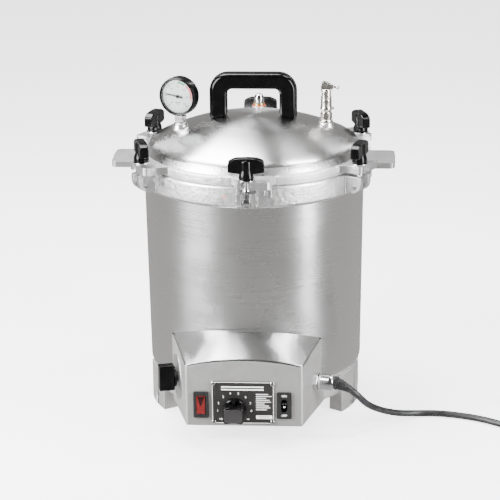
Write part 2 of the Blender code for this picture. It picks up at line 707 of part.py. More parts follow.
def gauge():
    """The gauge stands on a hexagon and a square stem, and its face leans to the left of the front."""
    x, y = GAUGE_XY
    seat = dome_z(math.hypot(x, y)) + BOSS_UP + GAP
    neck = rod(NECK_R, seat - 16, seat + 1, 16)
    hexagon = rod(9, seat, seat + 4, 6)
    stem = block((-6.5, -6.5, seat + 3.5), (6.5, 6.5, GAUGE_Z - 29.2))
    post = rod(4.5, GAUGE_Z - 30, GAUGE_Z - 18, 16)
    shape = union(neck, hexagon, stem, post)
    shape.transform(moved(x, y, 0) @ about_z(-GAUGE_YAW))
    finish("gauge_stem", shape, "chrome")

    face = moved(x, y, GAUGE_Z) @ about_z(-GAUGE_YAW) @ about_x(90)
    case = [(0, -12), (21, -12), (26, -9), (28.6, -5), (28.6, 10), (27, 12), (25, 12), (24.5, 9.5),
            (24.5, 5.8), (0, 5.8)]
    shell = cut(turned(case, 30, face), rod(4.5 + GAP, -40, -17.5, 16, moved(x, y, GAUGE_Z)))
    finish("gauge_case", shell, "black_phenolic")
    dial = turned([(0, 5.8 + GAP), (24.5 - GAP, 5.8 + GAP), (24.5 - GAP, 7), (0, 7)], 32, face)
    finish("gauge_dial", dial, "dial_white")
    lens = turned([(0, 9.8), (24.2, 9.8), (24.2, 11), (0, 11.8)], 32, face)
    finish("gauge_lens", lens, "clear")

    hub = rod(2.6, 7.4, 9.4, 12)
    pointer = prism([(-1.6, -7), (1.6, -7), (1.0, 2), (0.4, 19.5), (-0.4, 19.5), (-1.0, 2)], 7.8, 8.8)
    needle = union(hub, pointer)
    needle.transform(face.to_3x3().to_4x4() @ about_z(NEEDLE_REST))
    finish("gauge_needle", needle, "black_rubber", face.translation)


def control_valve():
    """The pressure control valve, with a cam lever in its forked top. The lever's origin is on its pin."""
    x, y = VALVE_XY
    seat = dome_z(math.hypot(x, y)) + BOSS_UP + GAP
    pin = VALVE_PIN_Z
    neck = rod(NECK_R, seat - 16, seat + 1, 16)
    base = turned([(0, seat), (9.7, seat), (9.7, seat + 2), (8, seat + 3.5), (0, seat + 3.5)], 18)
    hexagon = rod(9.2, seat + 3, seat + 17, 6)
    ring = turned([(0, seat + 16), (8.4, seat + 16), (9, seat + 18), (9, seat + 21), (8.4, seat + 23),
                   (0, seat + 23)], 18)
    barrel = turned([(0, seat + 22), (8, seat + 22), (8, pin + 2), (6.8, pin + 3.2), (0, pin + 3.2)], 18)
    button = rod(2.2, 0, 11.5, 10, moved(0, 0, seat + 20) @ about_y(90))
    slot = block((-20, -LEVER_HALF - GAP, pin - 9.5), (20, LEVER_HALF + GAP, pin + 10))
    bore = rod(1.8, -20, 20, 10, moved(0, 0, pin) @ about_x(90))
    shape = cut(union(neck, base, hexagon, ring, barrel, button), slot, bore)
    shape.transform(moved(x, y, 0))
    finish("valve_body", shape, "chrome")

    cam = [(-8, -1), (5, -1), (8, 1.5), (11, 3.5), (11, 7), (6, 10), (0, 13), (-4, 14), (-6.5, 12), (-8, 8)]
    upright = Matrix(((1, 0, 0, 0), (0, 0, -1, 0), (0, 1, 0, 0), (0, 0, 0, 1)))
    plate = prism(cam, -LEVER_HALF, LEVER_HALF, upright)
    axle = rod(1.5, -7.6, 7.6, 10, about_x(90))
    arm = rod(1.7, 0, 7, 10, moved(10, 0, 5.3) @ about_y(98))
    ball_profile = [(0, -2.8), (1.9, -2.1), (2.8, -0.8), (2.8, 0.8), (1.9, 2.1), (0, 2.8)]
    ball = turned(ball_profile, 12, moved(16.5, 0, 4.5))
    finish("valve_lever", union(plate, axle, arm, ball), "chrome", (x, y, pin))


def relief_valve():
    """The spring-loaded safety valve: a body screwed into the dome and a domed cap that lifts."""
    x, y = RELIEF_XY
    seat = dome_z(math.hypot(x, y)) + BOSS_UP + GAP
    body = [(0, seat - 16), (NECK_R, seat - 16), (NECK_R, seat), (9, seat), (9, seat + 4), (4.5, seat + 4),
            (4.5, seat + 9), (0, seat + 9)]
    finish("relief_body", turned(body, 20, moved(x, y, 0)), "brass")
    low = seat + 4 + GAP
    cap = [(4.5 + GAP, low), (7.8, low), (7.8, low + 8), (6.6, low + 11.5), (3.5, low + 13.5), (0, low + 14),
           (0, low + 8.5), (4.5 + GAP, low + 8.5)]
    shape = turned([(r, z - seat) for r, z in cap], 20)
    finish("relief_cap", shape, "chrome", (x, y, seat))


# ---------------------------------------------------------------- mains lead

def smooth(route, step):
    """Points every step millimetres along a smooth curve through the route's own points."""
    dense = []
    ends = [route[0]] + list(route) + [route[-1]]
    for a, b, c, d in zip(ends, ends[1:], ends[2:], ends[3:]):
        a, b, c, d = (np.array(p, float) for p in (a, b, c, d))
        for t in np.linspace(0, 1, 20, endpoint=False):
            bend = (2 * a - 5 * b + 4 * c - d) * t**2 + (3 * b - a - 3 * c + d) * t**3
            dense.append(0.5 * (2 * b + (c - a) * t + bend))
    dense.append(np.array(route[-1], float))
    dense = np.array(dense)
    along = np.concatenate([[0], np.cumsum(np.linalg.norm(np.diff(dense, axis=0), axis=1))])
    wanted = np.linspace(0, along[-1], max(2, round(along[-1] / step)))
    return [tuple(np.interp(wanted, along, dense[:, i])[k] for i in range(3)) for k in range(len(wanted))]


def cord_route():
    straight = [gland_frame() @ Vector((0, 0, out)) for out in (15, 23, 31, 38)]
    return [tuple(point) for point in straight] + CORD_POINTS


def mains_lead():
    tube("power_cord", smooth(cord_route(), 2.4 * CORD_R), CORD_R, "black_rubber")
    low, high, half = 0.3, 2 * COIL_HALF + 0.3, COIL_HALF
    inner, outer = COIL_MID_R - half, COIL_MID_R + half
    ring = [(inner, high), (outer, high), (outer, low), (inner, low)]
    finish("cord_coil", turned(ring, 36, moved(*COIL_CENTRE, 0)), "black_rubber")
    place = moved(*PLUG_AT, 9.3) @ about_z(PLUG_TURN)
    body = [(-22, -6), (-16, -8.5), (-4, -12.5), (14, -12.5), (16, -10), (16, 10), (14, 12.5), (-4, 12.5),
            (-16, 8.5), (-22, 6)]
    shape = prism(body, -9, 9, place)
    blades = [block((15, y - 0.8, -3.2), (33, y + 0.8, 3.2), place) for y in (-6.3, 6.3)]
    pin = rod(2.4, 15, 36, 12, place @ moved(0, 0, 6.3) @ about_y(90))
    finish("mains_plug", union(shape, *blades, pin), "black_rubber")


def main():
    clear_scene()
    axis = bpy.data.objects.new("canner_axis", None)
    bpy.context.scene.collection.objects.link(axis)
    axis.location = (0, AXIS_Y * MM, 0)
    pot()
    side_handle("side_handle_right", 1)
    side_handle("side_handle_left", -1)
    clamp_pins()
    jar_rack()
    base_housing()
    bottom_cover()
    heating_element()
    element_clamp()
    thermostat_body()
    thermostat_sensor()
    terminal_block()
    switch_body()
    lamp_body()
    lamp_lens()
    faceplate()
    faceplate_screws()
    thermostat_knob()
    switch_toggle()
    gland()
    selector()
    eye_bolts()
    wing_nuts()
    lid()
    top_handle()
    handle_bolts()
    gauge()
    control_valve()
    relief_valve()
    mains_lead()


main()
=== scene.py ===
"""Looks of the electric pressure canner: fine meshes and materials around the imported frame.

Lengths are millimetres about the pot's axis, with the floor at z = 0 and the front at -Y. add() takes them
to the row frame, where everything is in metres.
"""

import json
import math

import bmesh
import bpy
import numpy as np
from mathutils import Matrix, Vector

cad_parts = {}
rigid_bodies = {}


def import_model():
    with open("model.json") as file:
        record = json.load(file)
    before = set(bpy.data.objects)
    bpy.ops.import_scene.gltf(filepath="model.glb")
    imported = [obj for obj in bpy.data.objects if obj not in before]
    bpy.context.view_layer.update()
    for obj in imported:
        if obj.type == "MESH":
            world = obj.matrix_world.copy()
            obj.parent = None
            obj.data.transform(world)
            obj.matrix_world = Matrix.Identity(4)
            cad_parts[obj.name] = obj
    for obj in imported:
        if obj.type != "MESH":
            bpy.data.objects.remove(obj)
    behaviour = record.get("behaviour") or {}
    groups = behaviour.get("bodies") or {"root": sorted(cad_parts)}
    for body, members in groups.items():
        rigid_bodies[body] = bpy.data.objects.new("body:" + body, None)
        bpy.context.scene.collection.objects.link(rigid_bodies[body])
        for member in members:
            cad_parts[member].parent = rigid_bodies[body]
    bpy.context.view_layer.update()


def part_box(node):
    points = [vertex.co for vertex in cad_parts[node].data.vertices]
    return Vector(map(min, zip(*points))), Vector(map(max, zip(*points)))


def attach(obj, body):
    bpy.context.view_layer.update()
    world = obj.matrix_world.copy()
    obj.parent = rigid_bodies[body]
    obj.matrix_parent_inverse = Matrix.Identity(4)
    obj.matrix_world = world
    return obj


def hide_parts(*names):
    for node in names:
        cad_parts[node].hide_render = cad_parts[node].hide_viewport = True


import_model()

MM = 0.001
pot_low, pot_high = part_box("pot")
AXIS = Vector(((pot_low.x + pot_high.x) / 2, (pot_low.y + pot_high.y) / 2, 0.0))


def from_axis(node):
    """A CAD node's lowest and highest corners in millimetres about the pot's axis."""
    low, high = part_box(node)
    return (low - AXIS) / MM, (high - AXIS) / MM


# ---- sizes, the CAD model's
#
# An _R is a radius, _Z a height, _XY a place from above and _HALF half a width. Angles are in degrees.

POT_FLOOR = from_axis("pot")[0].z
SEAM_Z = from_axis("pot")[1].z
HANDLE_TOP = from_axis("top_handle")[1].z
POT_R_LOW = 157.0
POT_R_TOP = 160.5
POT_WALL = 5.0
RING_Z = 336.0
RING_R = 163.5
FLANGE_R = 160.5
FLANGE_TOP = 379.0
CROWN_R = 330.0
DOME_TOP = 430.0
LID_WALL = 4.5
CLAMP_TURNS = [30 + 60 * k for k in range(6)]
NUT_TURNS = (-10.0, 0.0, 14.0, -13.0, 0.0, 14.0)
CLAMP_R = 179.0
PIN_Z = 348.5
EAR_LOW = 369.0
EAR_TOP = 380.4
NUT_Z = 380.8
BASE_R = 151.0
BASE_BOTTOM = 28.0
BOX_X = -4.5
PANEL_Y = -212.0
PANEL_HALF = 82.5
PANEL_TOP = 119.0
BOX_BACK_HALF = 110.0
BOX_BACK_Y = -113.0
ROOF_CROWN = 9.0
ROOF_SLOPE = 0.48
ROOF_FALL = 0.35
GAUGE_XY = (-106.0, -8.0)
GAUGE_Z = 459.1
GAUGE_YAW = 20.3
NEEDLE_REST = 82.0
VALVE_XY = (105.5, 8.0)
VALVE_PIN_Z = 463.5
LEVER_HALF = 3.8
RELIEF_XY = (2.0, 106.0)
BOSS_UP = 4.5
PLATE_X = (-50.0, 38.0)
PLATE_Z = (33.0, 96.0)
PLATE_THICK = 1.9
KNOB_X = -18.0
KNOB_Z = 55.0
LAMP_X = -65.4
SWITCH_X = 52.2
WINDOW_Z = 61.0
BEZEL = 3.4
HANDLE_Z = (358.3, 367.0)
SIDE_HANDLE_R = 206.3
FEET = (22.0, 158.0, 202.0, 338.0)
GAP = 0.3
BOSSES = (GAUGE_XY, VALVE_XY, RELIEF_XY)
TOGGLE_TILT = 16.0
TOGGLE_DEEP = 5.5
NUMBERS_R = 24.0
NUMBERS_SWEEP = 194
INDEX_TURN = -101.5
HANDLE_BOLT_X = 51.0
TIE_TURN = 318
LENS = 145.4
CAMERA_TURN = 3.69
CAMERA_RISE = 17.76
CAMERA_ROLL = -0.64
CAMERA_AWAY = 3000.0
CAMERA_AIM = Vector((-7.34, -0.47, 222.2))
CORD_R = 4.75
COIL_CENTRE = (452.0, -128.0)
COIL_MID_R = 52.0
COIL_STEP = 12
COIL_SWEEP = 3 * 360 + 190
COIL_TURNS_IN = 360
COIL_RISES = 2 * 360 - 50
COIL_TURNS_OUT = 3 * 360 - 100
PLUG_AT = (405.0, -50.0, 9.3)
CORD_POINTS = [
    (152.0, -172.0, 64.0), (168.0, -160.0, 44.0), (187.0, -140.0, 27.0), (212.0, -118.0, 13.0),
    (240.0, -102.0, 6.2), (270.0, -99.0, 5.2), (300.0, -105.0, 5.2), (335.0, -119.0, 5.2),
    (372.0, -145.0, 5.2), (408.5, -179.5, 5.2),
]


# ---- places

def about_x(degrees):
    return Matrix.Rotation(math.radians(degrees), 4, "X")


def about_y(degrees):
    return Matrix.Rotation(math.radians(degrees), 4, "Y")


def about_z(degrees):
    return Matrix.Rotation(math.radians(degrees), 4, "Z")


def moved(x, y, z):
    return Matrix.Translation((x, y, z))


# UPRIGHT stands an outline up with its thickness along Y, and OUTWARD with its thickness along X.
UPRIGHT = Matrix(((1, 0, 0, 0), (0, 0, -1, 0), (0, 1, 0, 0), (0, 0, 0, 1)))
OUTWARD = Matrix(((0, 0, 1, 0), (1, 0, 0, 0), (0, 1, 0, 0), (0, 0, 0, 1)))


def panel_frame(x, z):
    """A frame on the front panel: X to the right, Y up and Z out of it."""
    return moved(x, PANEL_Y, z) @ about_x(90)


def side_frame(side, along, height):
    """A frame on the control box's side wall, Z out of it. along runs back from the front corner."""
    front = Vector((BOX_X + side * PANEL_HALF, PANEL_Y, 0))
    back = Vector((BOX_X + side * BOX_BACK_HALF, BOX_BACK_Y, 0))
    run = (back - front).normalized()
    out = Vector((run.y, -run.x, 0)) * side
    at = front + run * along
    up = Vector((0, 0, 1))
    axes = Matrix((up.cross(out), up, out)).transposed().to_4x4()
    return Matrix.Translation((at.x, at.y, height)) @ axes


GLAND = side_frame(1, 59.0, 76.0)
SELECTOR = side_frame(-1, 61.0, 80.0)


def dome_z(radius):
    """Height of the lid's outer crown at this distance from the axis."""
    return DOME_TOP - CROWN_R + math.sqrt(CROWN_R**2 - radius**2)


def boss_seat(x, y):
    """Height where a fitting sits on the lid's boss at this place."""
    return dome_z(math.hypot(x, y)) + BOSS_UP + GAP


def placed(name, data):
    """A new object with this data, linked into the scene."""
    obj = bpy.data.objects.new(name, data)
    bpy.context.scene.collection.objects.link(obj)
    return obj


# ---- camera

def look_from(azimuth, elevation, distance, target, roll):
    """The camera's matrix in millimetres about the pot's axis. Azimuth 0 looks along +Y."""
    a = math.radians(azimuth)
    e = math.radians(elevation)
    back = Vector((math.sin(a) * math.cos(e), -math.cos(a) * math.cos(e), math.sin(e)))
    right = Vector((0, 0, 1)).cross(back).normalized()
    up = back.cross(right)
    turn = math.radians(roll)
    right, up = right * math.cos(turn) + up * math.sin(turn), up * math.cos(turn) - right * math.sin(turn)
    axes = Matrix((right, up, back)).transposed().to_4x4()
    return Matrix.Translation(target + back * distance) @ axes


def make_camera():
    data = bpy.data.cameras.new("camera")
    data.lens = LENS
    data.clip_end = 50
    camera = placed("camera", data)
    matrix = look_from(CAMERA_TURN, CAMERA_RISE, CAMERA_AWAY, CAMERA_AIM, CAMERA_ROLL)
    matrix.translation = matrix.translation * MM + AXIS
    camera.matrix_world = matrix
    bpy.context.scene.camera = camera


# ---- materials

def wired(tree, kind, inputs, **properties):
    """A new node's outputs. Inputs are linked where they are given a socket, and set where a value."""
    made = tree.nodes.new(kind)
    for key, value in properties.items():
        setattr(made, key, value)
    for key, value in inputs.items():
        if isinstance(value, bpy.types.NodeSocket):
            tree.links.new(value, made.inputs[key])
        else:
            made.inputs[key].default_value = value
    return made.outputs


class Paint:
    """A material with a Principled shader, and short ways to wire procedural detail into it."""

    def __init__(self, name, colour, roughness, metallic=0.0, **constants):
        self.material = bpy.data.materials.new(name)
        self.material.use_nodes = True
        self.material.diffuse_color = (*colour, 1)
        self.tree = self.material.node_tree
        self.shader = self.tree.nodes["Principled BSDF"].inputs
        self.shader["Base Color"].default_value = (*colour, 1)
        self.shader["Roughness"].default_value = roughness
        self.shader["Metallic"].default_value = metallic
        for socket, value in constants.items():
            self.shader[socket.replace("_", " ")].default_value = value
        place = self.node("ShaderNodeTexCoord", {})["Object"]
        self.place = self.node("ShaderNodeVectorMath", {0: place, 1: AXIS}, operation="SUBTRACT")[0]

    def node(self, kind, inputs, **properties):
        return wired(self.tree, kind, inputs, **properties)

    def feed(self, socket, source):
        self.tree.links.new(source, self.shader[socket])

    def stretched(self, x, y, z):
        """The place, scaled by these factors, for grain that runs one way."""
        return self.node("ShaderNodeVectorMath", {0: self.place, 1: (x, y, z)}, operation="MULTIPLY")[0]

    def round_axis(self, across, around):
        """Coordinates that change fast with radius and height and slowly round the axis."""
        x, y, z = self.node("ShaderNodeSeparateXYZ", {0: self.place}).values()
        flat = self.node("ShaderNodeCombineXYZ", {0: x, 1: y})[0]
        radius = self.node("ShaderNodeVectorMath", {0: flat}, operation="LENGTH")["Value"]
        turn = self.node("ShaderNodeMath", {0: y, 1: x}, operation="ARCTAN2")[0]
        both = self.node("ShaderNodeCombineXYZ", {0: radius, 1: turn, 2: z})[0]
        scales = (across, around, across)
        return self.node("ShaderNodeVectorMath", {0: both, 1: scales}, operation="MULTIPLY")[0]

    def noise(self, vector, scale=1.0, detail=3.0, roughness=0.5):
        inputs = {"Vector": vector, "Scale": scale, "Detail": detail, "Roughness": roughness}
        return self.node("ShaderNodeTexNoise", inputs)["Fac"]

    def cells(self, vector, scale):
        return self.node("ShaderNodeTexVoronoi", {"Vector": vector, "Scale": scale})["Distance"]

    def between(self, value, low, high, start=0.3, end=0.7):
        """The value's range from start to end, taken to low..high."""
        inputs = {"Value": value, "From Min": start, "From Max": end, "To Min": low, "To Max": high}
        return self.node("ShaderNodeMapRange", inputs)["Result"]

    def colour(self, value, first, second, start=0.3, end=0.7):
        """Takes the base colour from first to second over this range of the value."""
        inputs = {"Factor": self.between(value, 0, 1, start, end), "A": (*first, 1), "B": (*second, 1)}
        self.feed("Base Color", self.node("ShaderNodeMix", inputs, data_type="RGBA")["Result"])

    def rough(self, value, low, high):
        self.feed("Roughness", self.between(value, low, high))

    def bump(self, value, distance, strength=1.0, under=None):
        inputs = {"Strength": strength, "Distance": distance, "Height": value}
        if under:
            inputs["Normal"] = under
        normal = self.node("ShaderNodeBump", inputs)["Normal"]
        self.feed("Normal", normal)
        return normal


def grey(value, warm=0.0):
    return (value + warm, value, value - warm)


def turned_metal(name, tone, roughness, anisotropy):
    """Metal finished on a lathe: fine rings round the pot's axis, which draw highlights out across them."""
    paint = Paint(name, grey(tone), roughness, 1.0, Anisotropic=anisotropy, Anisotropic_Rotation=0.25)
    paint.feed("Tangent", paint.node("ShaderNodeTangent", {}, direction_type="RADIAL", axis="Z")[0])
    rings = paint.noise(paint.round_axis(420, 1.2), 1.0, 4, 0.6)
    smudges = paint.noise(paint.place, 14, 3, 0.55)
    paint.colour(rings, grey(tone - 0.02), grey(tone + 0.02))
    marks = paint.between(rings, -0.012, 0.016)
    haze = paint.between(smudges, roughness - 0.03, roughness + 0.04)
    paint.feed("Roughness", paint.node("ShaderNodeMath", {0: marks, 1: haze}, operation="ADD")[0])
    paint.bump(rings, 0.00003, 0.05)
    return paint.material


def cast_metal(name, tone, roughness, grain, depth, warm=0.0):
    """Blasted or raw cast aluminium: a fine grain, a few shallow pits and uneven tone."""
    paint = Paint(name, grey(tone, warm), roughness, 1.0)
    fine = paint.noise(paint.place, grain, 4, 0.65)
    broad = paint.noise(paint.place, 45, 3, 0.6)
    pits = paint.cells(paint.place, grain * 0.45)
    paint.colour(broad, grey(tone - 0.05, warm), grey(tone + 0.05, warm))
    paint.rough(fine, roughness - 0.06, roughness + 0.08)
    under = paint.bump(pits, depth * 0.6, 0.25)
    paint.bump(fine, depth, 0.6, under)
    return paint.material


def brushed_metal(name, tone, roughness, across, anisotropy=0.0):
    """Metal with straight grain. across holds the grain's density along X, Y and Z."""
    paint = Paint(name, grey(tone), roughness, 1.0, Anisotropic=anisotropy, Anisotropic_Rotation=0.25)
    if anisotropy:
        paint.feed("Tangent", paint.node("ShaderNodeCombineXYZ", {0: 1.0})[0])
    grain = paint.noise(paint.stretched(*across), 1.0, 4, 0.6)
    paint.colour(grain, grey(tone - 0.03), grey(tone + 0.03))
    paint.rough(grain, roughness - 0.03, roughness + 0.03)
    paint.bump(grain, 0.00003, 0.12)
    return paint.material


def plated_metal(name, colour, roughness):
    """Polished plating, a little hazed and worn in patches."""
    paint = Paint(name, colour, roughness, 1.0)
    haze = paint.noise(paint.place, 160, 4, 0.6)
    worn = tuple(c * 0.9 for c in colour)
    paint.colour(haze, worn, colour)
    paint.rough(haze, roughness * 0.7, roughness * 1.6)
    paint.bump(haze, 0.00003, 0.3)
    return paint.material


def moulded(name, colour, roughness, texture, depth, coat=0.0, gloss=0.5):
    """Moulded plastic or rubber with a fine skin texture, and dust that lightens it in places."""
    paint = Paint(name, colour, roughness, 0.0, Coat_Weight=coat, Coat_Roughness=0.06,
            Specular_IOR_Level=gloss)
    skin = paint.noise(paint.place, texture, 3, 0.6)
    dust = paint.noise(paint.place, 60, 4, 0.65)
    lighter = tuple(min(1.0, c * 1.3 + 0.0008) for c in colour)
    paint.colour(dust, colour, lighter, 0.45, 0.8)
    paint.rough(dust, max(0.03, roughness - 0.04), roughness + 0.06)
    paint.bump(skin, depth, 0.5)
    return paint.material


def clear_glass(name):
    paint = Paint(name, (0.97, 0.99, 0.99), 0.03, 0.0, Transmission_Weight=1.0, IOR=1.2)
    dust = paint.noise(paint.place, 120, 3)
    paint.rough(dust, 0.02, 0.05)
    return paint.material


def glowing_red(name):
    """A red moulded lens with fine prisms in it."""
    paint = Paint(name, (0.07, 0.002, 0.002), 0.25, 0.0, Coat_Weight=0.2)
    prisms = paint.cells(paint.place, 700)
    paint.colour(prisms, (0.045, 0.0012, 0.0012), (0.11, 0.003, 0.003), 0.1, 0.6)
    paint.bump(prisms, 0.0002, 0.4)
    return paint.material


def cord_skin(name):
    """The lead's rubber sheath: satin, with faint ribs from the extruder and scuffs."""
    paint = Paint(name, (0.012, 0.012, 0.013), 0.42)
    scuffs = paint.noise(paint.place, 150, 4, 0.65)
    paint.colour(scuffs, (0.009, 0.009, 0.0095), (0.03, 0.03, 0.032), 0.4, 0.8)
    paint.rough(scuffs, 0.34, 0.5)
    paint.bump(paint.noise(paint.place, 900, 2), 0.00006, 0.4)
    return paint.material


# One material for each finish, by name.
PAINTS = {
    "wall": turned_metal("turned_wall", 0.80, 0.27, 0.75),
    "dome": turned_metal("turned_dome", 0.80, 0.24, 0.8),
    "rim": cast_metal("machined_rim", 0.84, 0.3, 220, 0.0006),
    "cast": cast_metal("cast_rim", 0.84, 0.4, 170, 0.0016),
    "lug": cast_metal("cast_lug", 0.80, 0.36, 240, 0.0008),
    "housing": cast_metal("blasted_housing", 0.80, 0.5, 1300, 0.00008, 0.006),
    "roof": brushed_metal("brushed_roof", 0.80, 0.24, (12, 420, 420), 0.8),
    "satin": cast_metal("satin_handle", 0.50, 0.46, 800, 0.0001),
    "rack": brushed_metal("rack_aluminium", 0.78, 0.3, (60, 700, 700)),
    "steel": brushed_metal("bright_steel", 0.62, 0.25, (900, 900, 60)),
    "chrome": plated_metal("chrome", (0.84, 0.84, 0.86), 0.1),
    "nickel": plated_metal("nickel", (0.72, 0.69, 0.64), 0.2),
    "brass": plated_metal("brass", (0.74, 0.52, 0.22), 0.24),
    "phenolic": moulded("black_phenolic", (0.0012, 0.0012, 0.0013), 0.16, 260, 0.00003, 0.0, 0.25),
    "plastic": moulded("dark_plastic", (0.009, 0.009, 0.009), 0.4, 900, 0.00006),
    "cap": moulded("knob_cap", (0.014, 0.013, 0.013), 0.5, 1400, 0.00005),
    "plate": moulded("dark_plate", (0.011, 0.0095, 0.0095), 0.42, 1500, 0.00003),
    "ink": moulded("light_ink", (0.75, 0.75, 0.73), 0.5, 1500, 0.00002),
    "black_ink": moulded("black_ink", (0.02, 0.02, 0.022), 0.5, 1500, 0.00002),
    "green_ink": moulded("green_ink", (0.04, 0.28, 0.14), 0.5, 1500, 0.00002),
    "red_ink": moulded("red_ink", (0.75, 0.07, 0.05), 0.5, 1500, 0.00002),
    "dial": moulded("dial_white", (0.80, 0.81, 0.80), 0.5, 900, 0.00002),
    "silicone": moulded("red_silicone", (0.62, 0.1, 0.04), 0.45, 600, 0.00004),
    "ceramic": moulded("terminal_ceramic", (0.72, 0.7, 0.66), 0.5, 500, 0.00005),
    "glass": clear_glass("gauge_glass"),
    "lens": glowing_red("red_lens"),
    # Near-black sheet for the lamp lens's top: painted shadow where the bezel's top shades the lens.
    "lens_painted_shadow": moulded("lens_shadow", (0.012, 0.0006, 0.0006), 0.25, 700, 0.0001),
    "rubber": cord_skin("cord_rubber"),
    "tie": moulded("tie_fabric", (0.02, 0.02, 0.022), 0.8, 2200, 0.0002),
}


# ---- meshes

def mesh_of(points, faces):
    mesh = bpy.data.meshes.new("shape")
    mesh.from_pydata([tuple(map(float, p)) for p in points], [], [list(f) for f in faces])
    work = bmesh.new()
    work.from_mesh(mesh)
    bmesh.ops.recalc_face_normals(work, faces=work.faces)
    work.to_mesh(mesh)
    work.free()
    return mesh


def softened(points, steps=4, closed=True):
    """The outline with each corner that has a third number rounded off over that distance."""
    made = []
    count = len(points)
    for i, point in enumerate(points):
        here = Vector(point[:2])
        if len(point) < 3 or (not closed and i in (0, count - 1)):
            made.append(tuple(here))
            continue
        before = Vector(points[i - 1][:2]) - here
        after = Vector(points[(i + 1) % count][:2]) - here
        reach = min(point[2], 0.49 * before.length, 0.49 * after.length)
        start = here + before.normalized() * reach
        end = here + after.normalized() * reach
        for k in range(steps + 1):
            t = k / steps
            made.append(tuple((1 - t) ** 2 * start + 2 * t * (1 - t) * here + t * t * end))
    return made


def turned(profile, steps=96, matrix=None):
    """The closed outline of (radius, z) points, turned about Z. A point at radius 0 is on the axis."""
    points = []
    rows = []
    for radius, z in profile:
        if radius < 1e-6:
            points.append((0, 0, z))
            rows.append([len(points) - 1] * steps)
            continue
        first = len(points)
        for k in range(steps):
            turn = 2 * math.pi * k / steps
            points.append((radius * math.cos(turn), radius * math.sin(turn), z))
        rows.append(list(range(first, first + steps)))
    faces = []
    for i, row in enumerate(rows):
        below = rows[(i + 1) % len(rows)]
        for k in range(steps):
            after = (k + 1) % steps
            face = list(dict.fromkeys([row[k], row[after], below[after], below[k]]))
            if len(face) > 2:
                faces.append(face)
    mesh = mesh_of(points, faces)
    if matrix:
        mesh.transform(matrix)
    return mesh


def spun(profile, corner_steps, steps=96, matrix=None):
    """The (radius, z) outline with its corners rounded off, turned about Z."""
    return turned(softened(profile, corner_steps), steps, matrix)


def prism(outline, low, high, matrix=None):
    """The outline in X and Y, raised from low to high."""
    n = len(outline)
    points = [(p[0], p[1], low) for p in outline] + [(p[0], p[1], high) for p in outline]
    faces = [list(range(n)), list(range(n, 2 * n))]
    faces += [(i, (i + 1) % n, n + (i + 1) % n, n + i) for i in range(n)]
    mesh = mesh_of(points, faces)
    if matrix:
        mesh.transform(matrix)
    return mesh


def block(low, high, matrix=None):
    outline = [(low[0], low[1]), (high[0], low[1]), (high[0], high[1]), (low[0], high[1])]
    return prism(outline, low[2], high[2], matrix)


def rounded(half_x, half_y, radius, steps=6):
    """A rectangle's outline with round corners, about the origin."""
    outline = []
    for sx, sy, start in ((1, 1, 0), (-1, 1, 90), (-1, -1, 180), (1, -1, 270)):
        for k in range(steps + 1):
            turn = math.radians(start + 90 * k / steps)
            outline.append((sx * (half_x - radius) + radius * math.cos(turn),
                    sy * (half_y - radius) + radius * math.sin(turn)))
    return outline


def rod(radius, low, high, steps=32, matrix=None, chamfer=0.0):
    if not chamfer:
        return turned([(0, low), (radius, low), (radius, high), (0, high)], steps, matrix)
    profile = [(0, low), (radius - chamfer, low), (radius, low + chamfer), (radius, high - chamfer),
            (radius - chamfer, high), (0, high)]
    return turned(profile, steps, matrix)


def arc(centre, radius, start, end, steps):
    turns = [math.radians(start + (end - start) * k / steps) for k in range(steps + 1)]
    return [(centre[0] + radius * math.cos(t), centre[1] + radius * math.sin(t)) for t in turns]


def merged(*meshes):
    """These meshes as one, each with its own surface. A (mesh, number) pair sets its material's number."""
    work = bmesh.new()
    for item in meshes:
        mesh, number = item if isinstance(item, tuple) else (item, None)
        if number is not None:
            mesh.polygons.foreach_set("material_index", [number] * len(mesh.polygons))
        work.from_mesh(mesh)
    result = bpy.data.meshes.new("shape")
    work.to_mesh(result)
    work.free()
    return result


def modify(obj, kind, **settings):
    modifier = obj.modifiers.new(kind, kind)
    for key, value in settings.items():
        setattr(modifier, key, value)


def settled(obj):
    """The object's mesh with its modifiers applied. The object goes."""
    bpy.context.view_layer.update()
    graph = bpy.context.evaluated_depsgraph_get()
    result = bpy.data.meshes.new_from_object(obj.evaluated_get(graph))
    bpy.data.objects.remove(obj)
    return result


def cut(mesh, *tools):
    """This mesh less each of the tools."""
    for other in tools:
        base = placed("work", mesh)
        tool = placed("tool", other)
        modify(base, "BOOLEAN", operation="DIFFERENCE", object=tool)
        mesh = settled(base)
        bpy.data.objects.remove(tool)
    return mesh


def bevelled(mesh, width, segments=3, angle=35):
    """The mesh with its sharp edges rounded and the flat faces between them kept flat in the shading."""
    obj = placed("work", mesh)
    mesh.shade_smooth()
    limit = math.radians(angle)
    modify(obj, "BEVEL", width=width, segments=segments, limit_method="ANGLE", angle_limit=limit,
            harden_normals=False)
    modify(obj, "WEIGHTED_NORMAL", keep_sharp=False, weight=100)
    return settled(obj)


def evened(mesh, angle=35):
    """The mesh with its flat faces shaded flat and the rounds between them shaded as curves."""
    mesh.shade_smooth()
    mesh.set_sharp_from_angle(angle=math.radians(angle))
    obj = placed("work", mesh)
    modify(obj, "WEIGHTED_NORMAL", keep_sharp=True, weight=100)
    return settled(obj)


def repeated(make, turns):
    """A mesh from make() for each of these turns about the axis."""
    parts = []
    for angle in turns:
        part = make()
        part.transform(about_z(angle))
        parts.append(part)
    return parts


def zoned(mesh, zone):
    """Gives each face the number of the finish that zone(radius, height) picks."""
    numbers = [zone(math.hypot(f.center.x, f.center.y), f.center.z) for f in mesh.polygons]
    mesh.polygons.foreach_set("material_index", numbers)


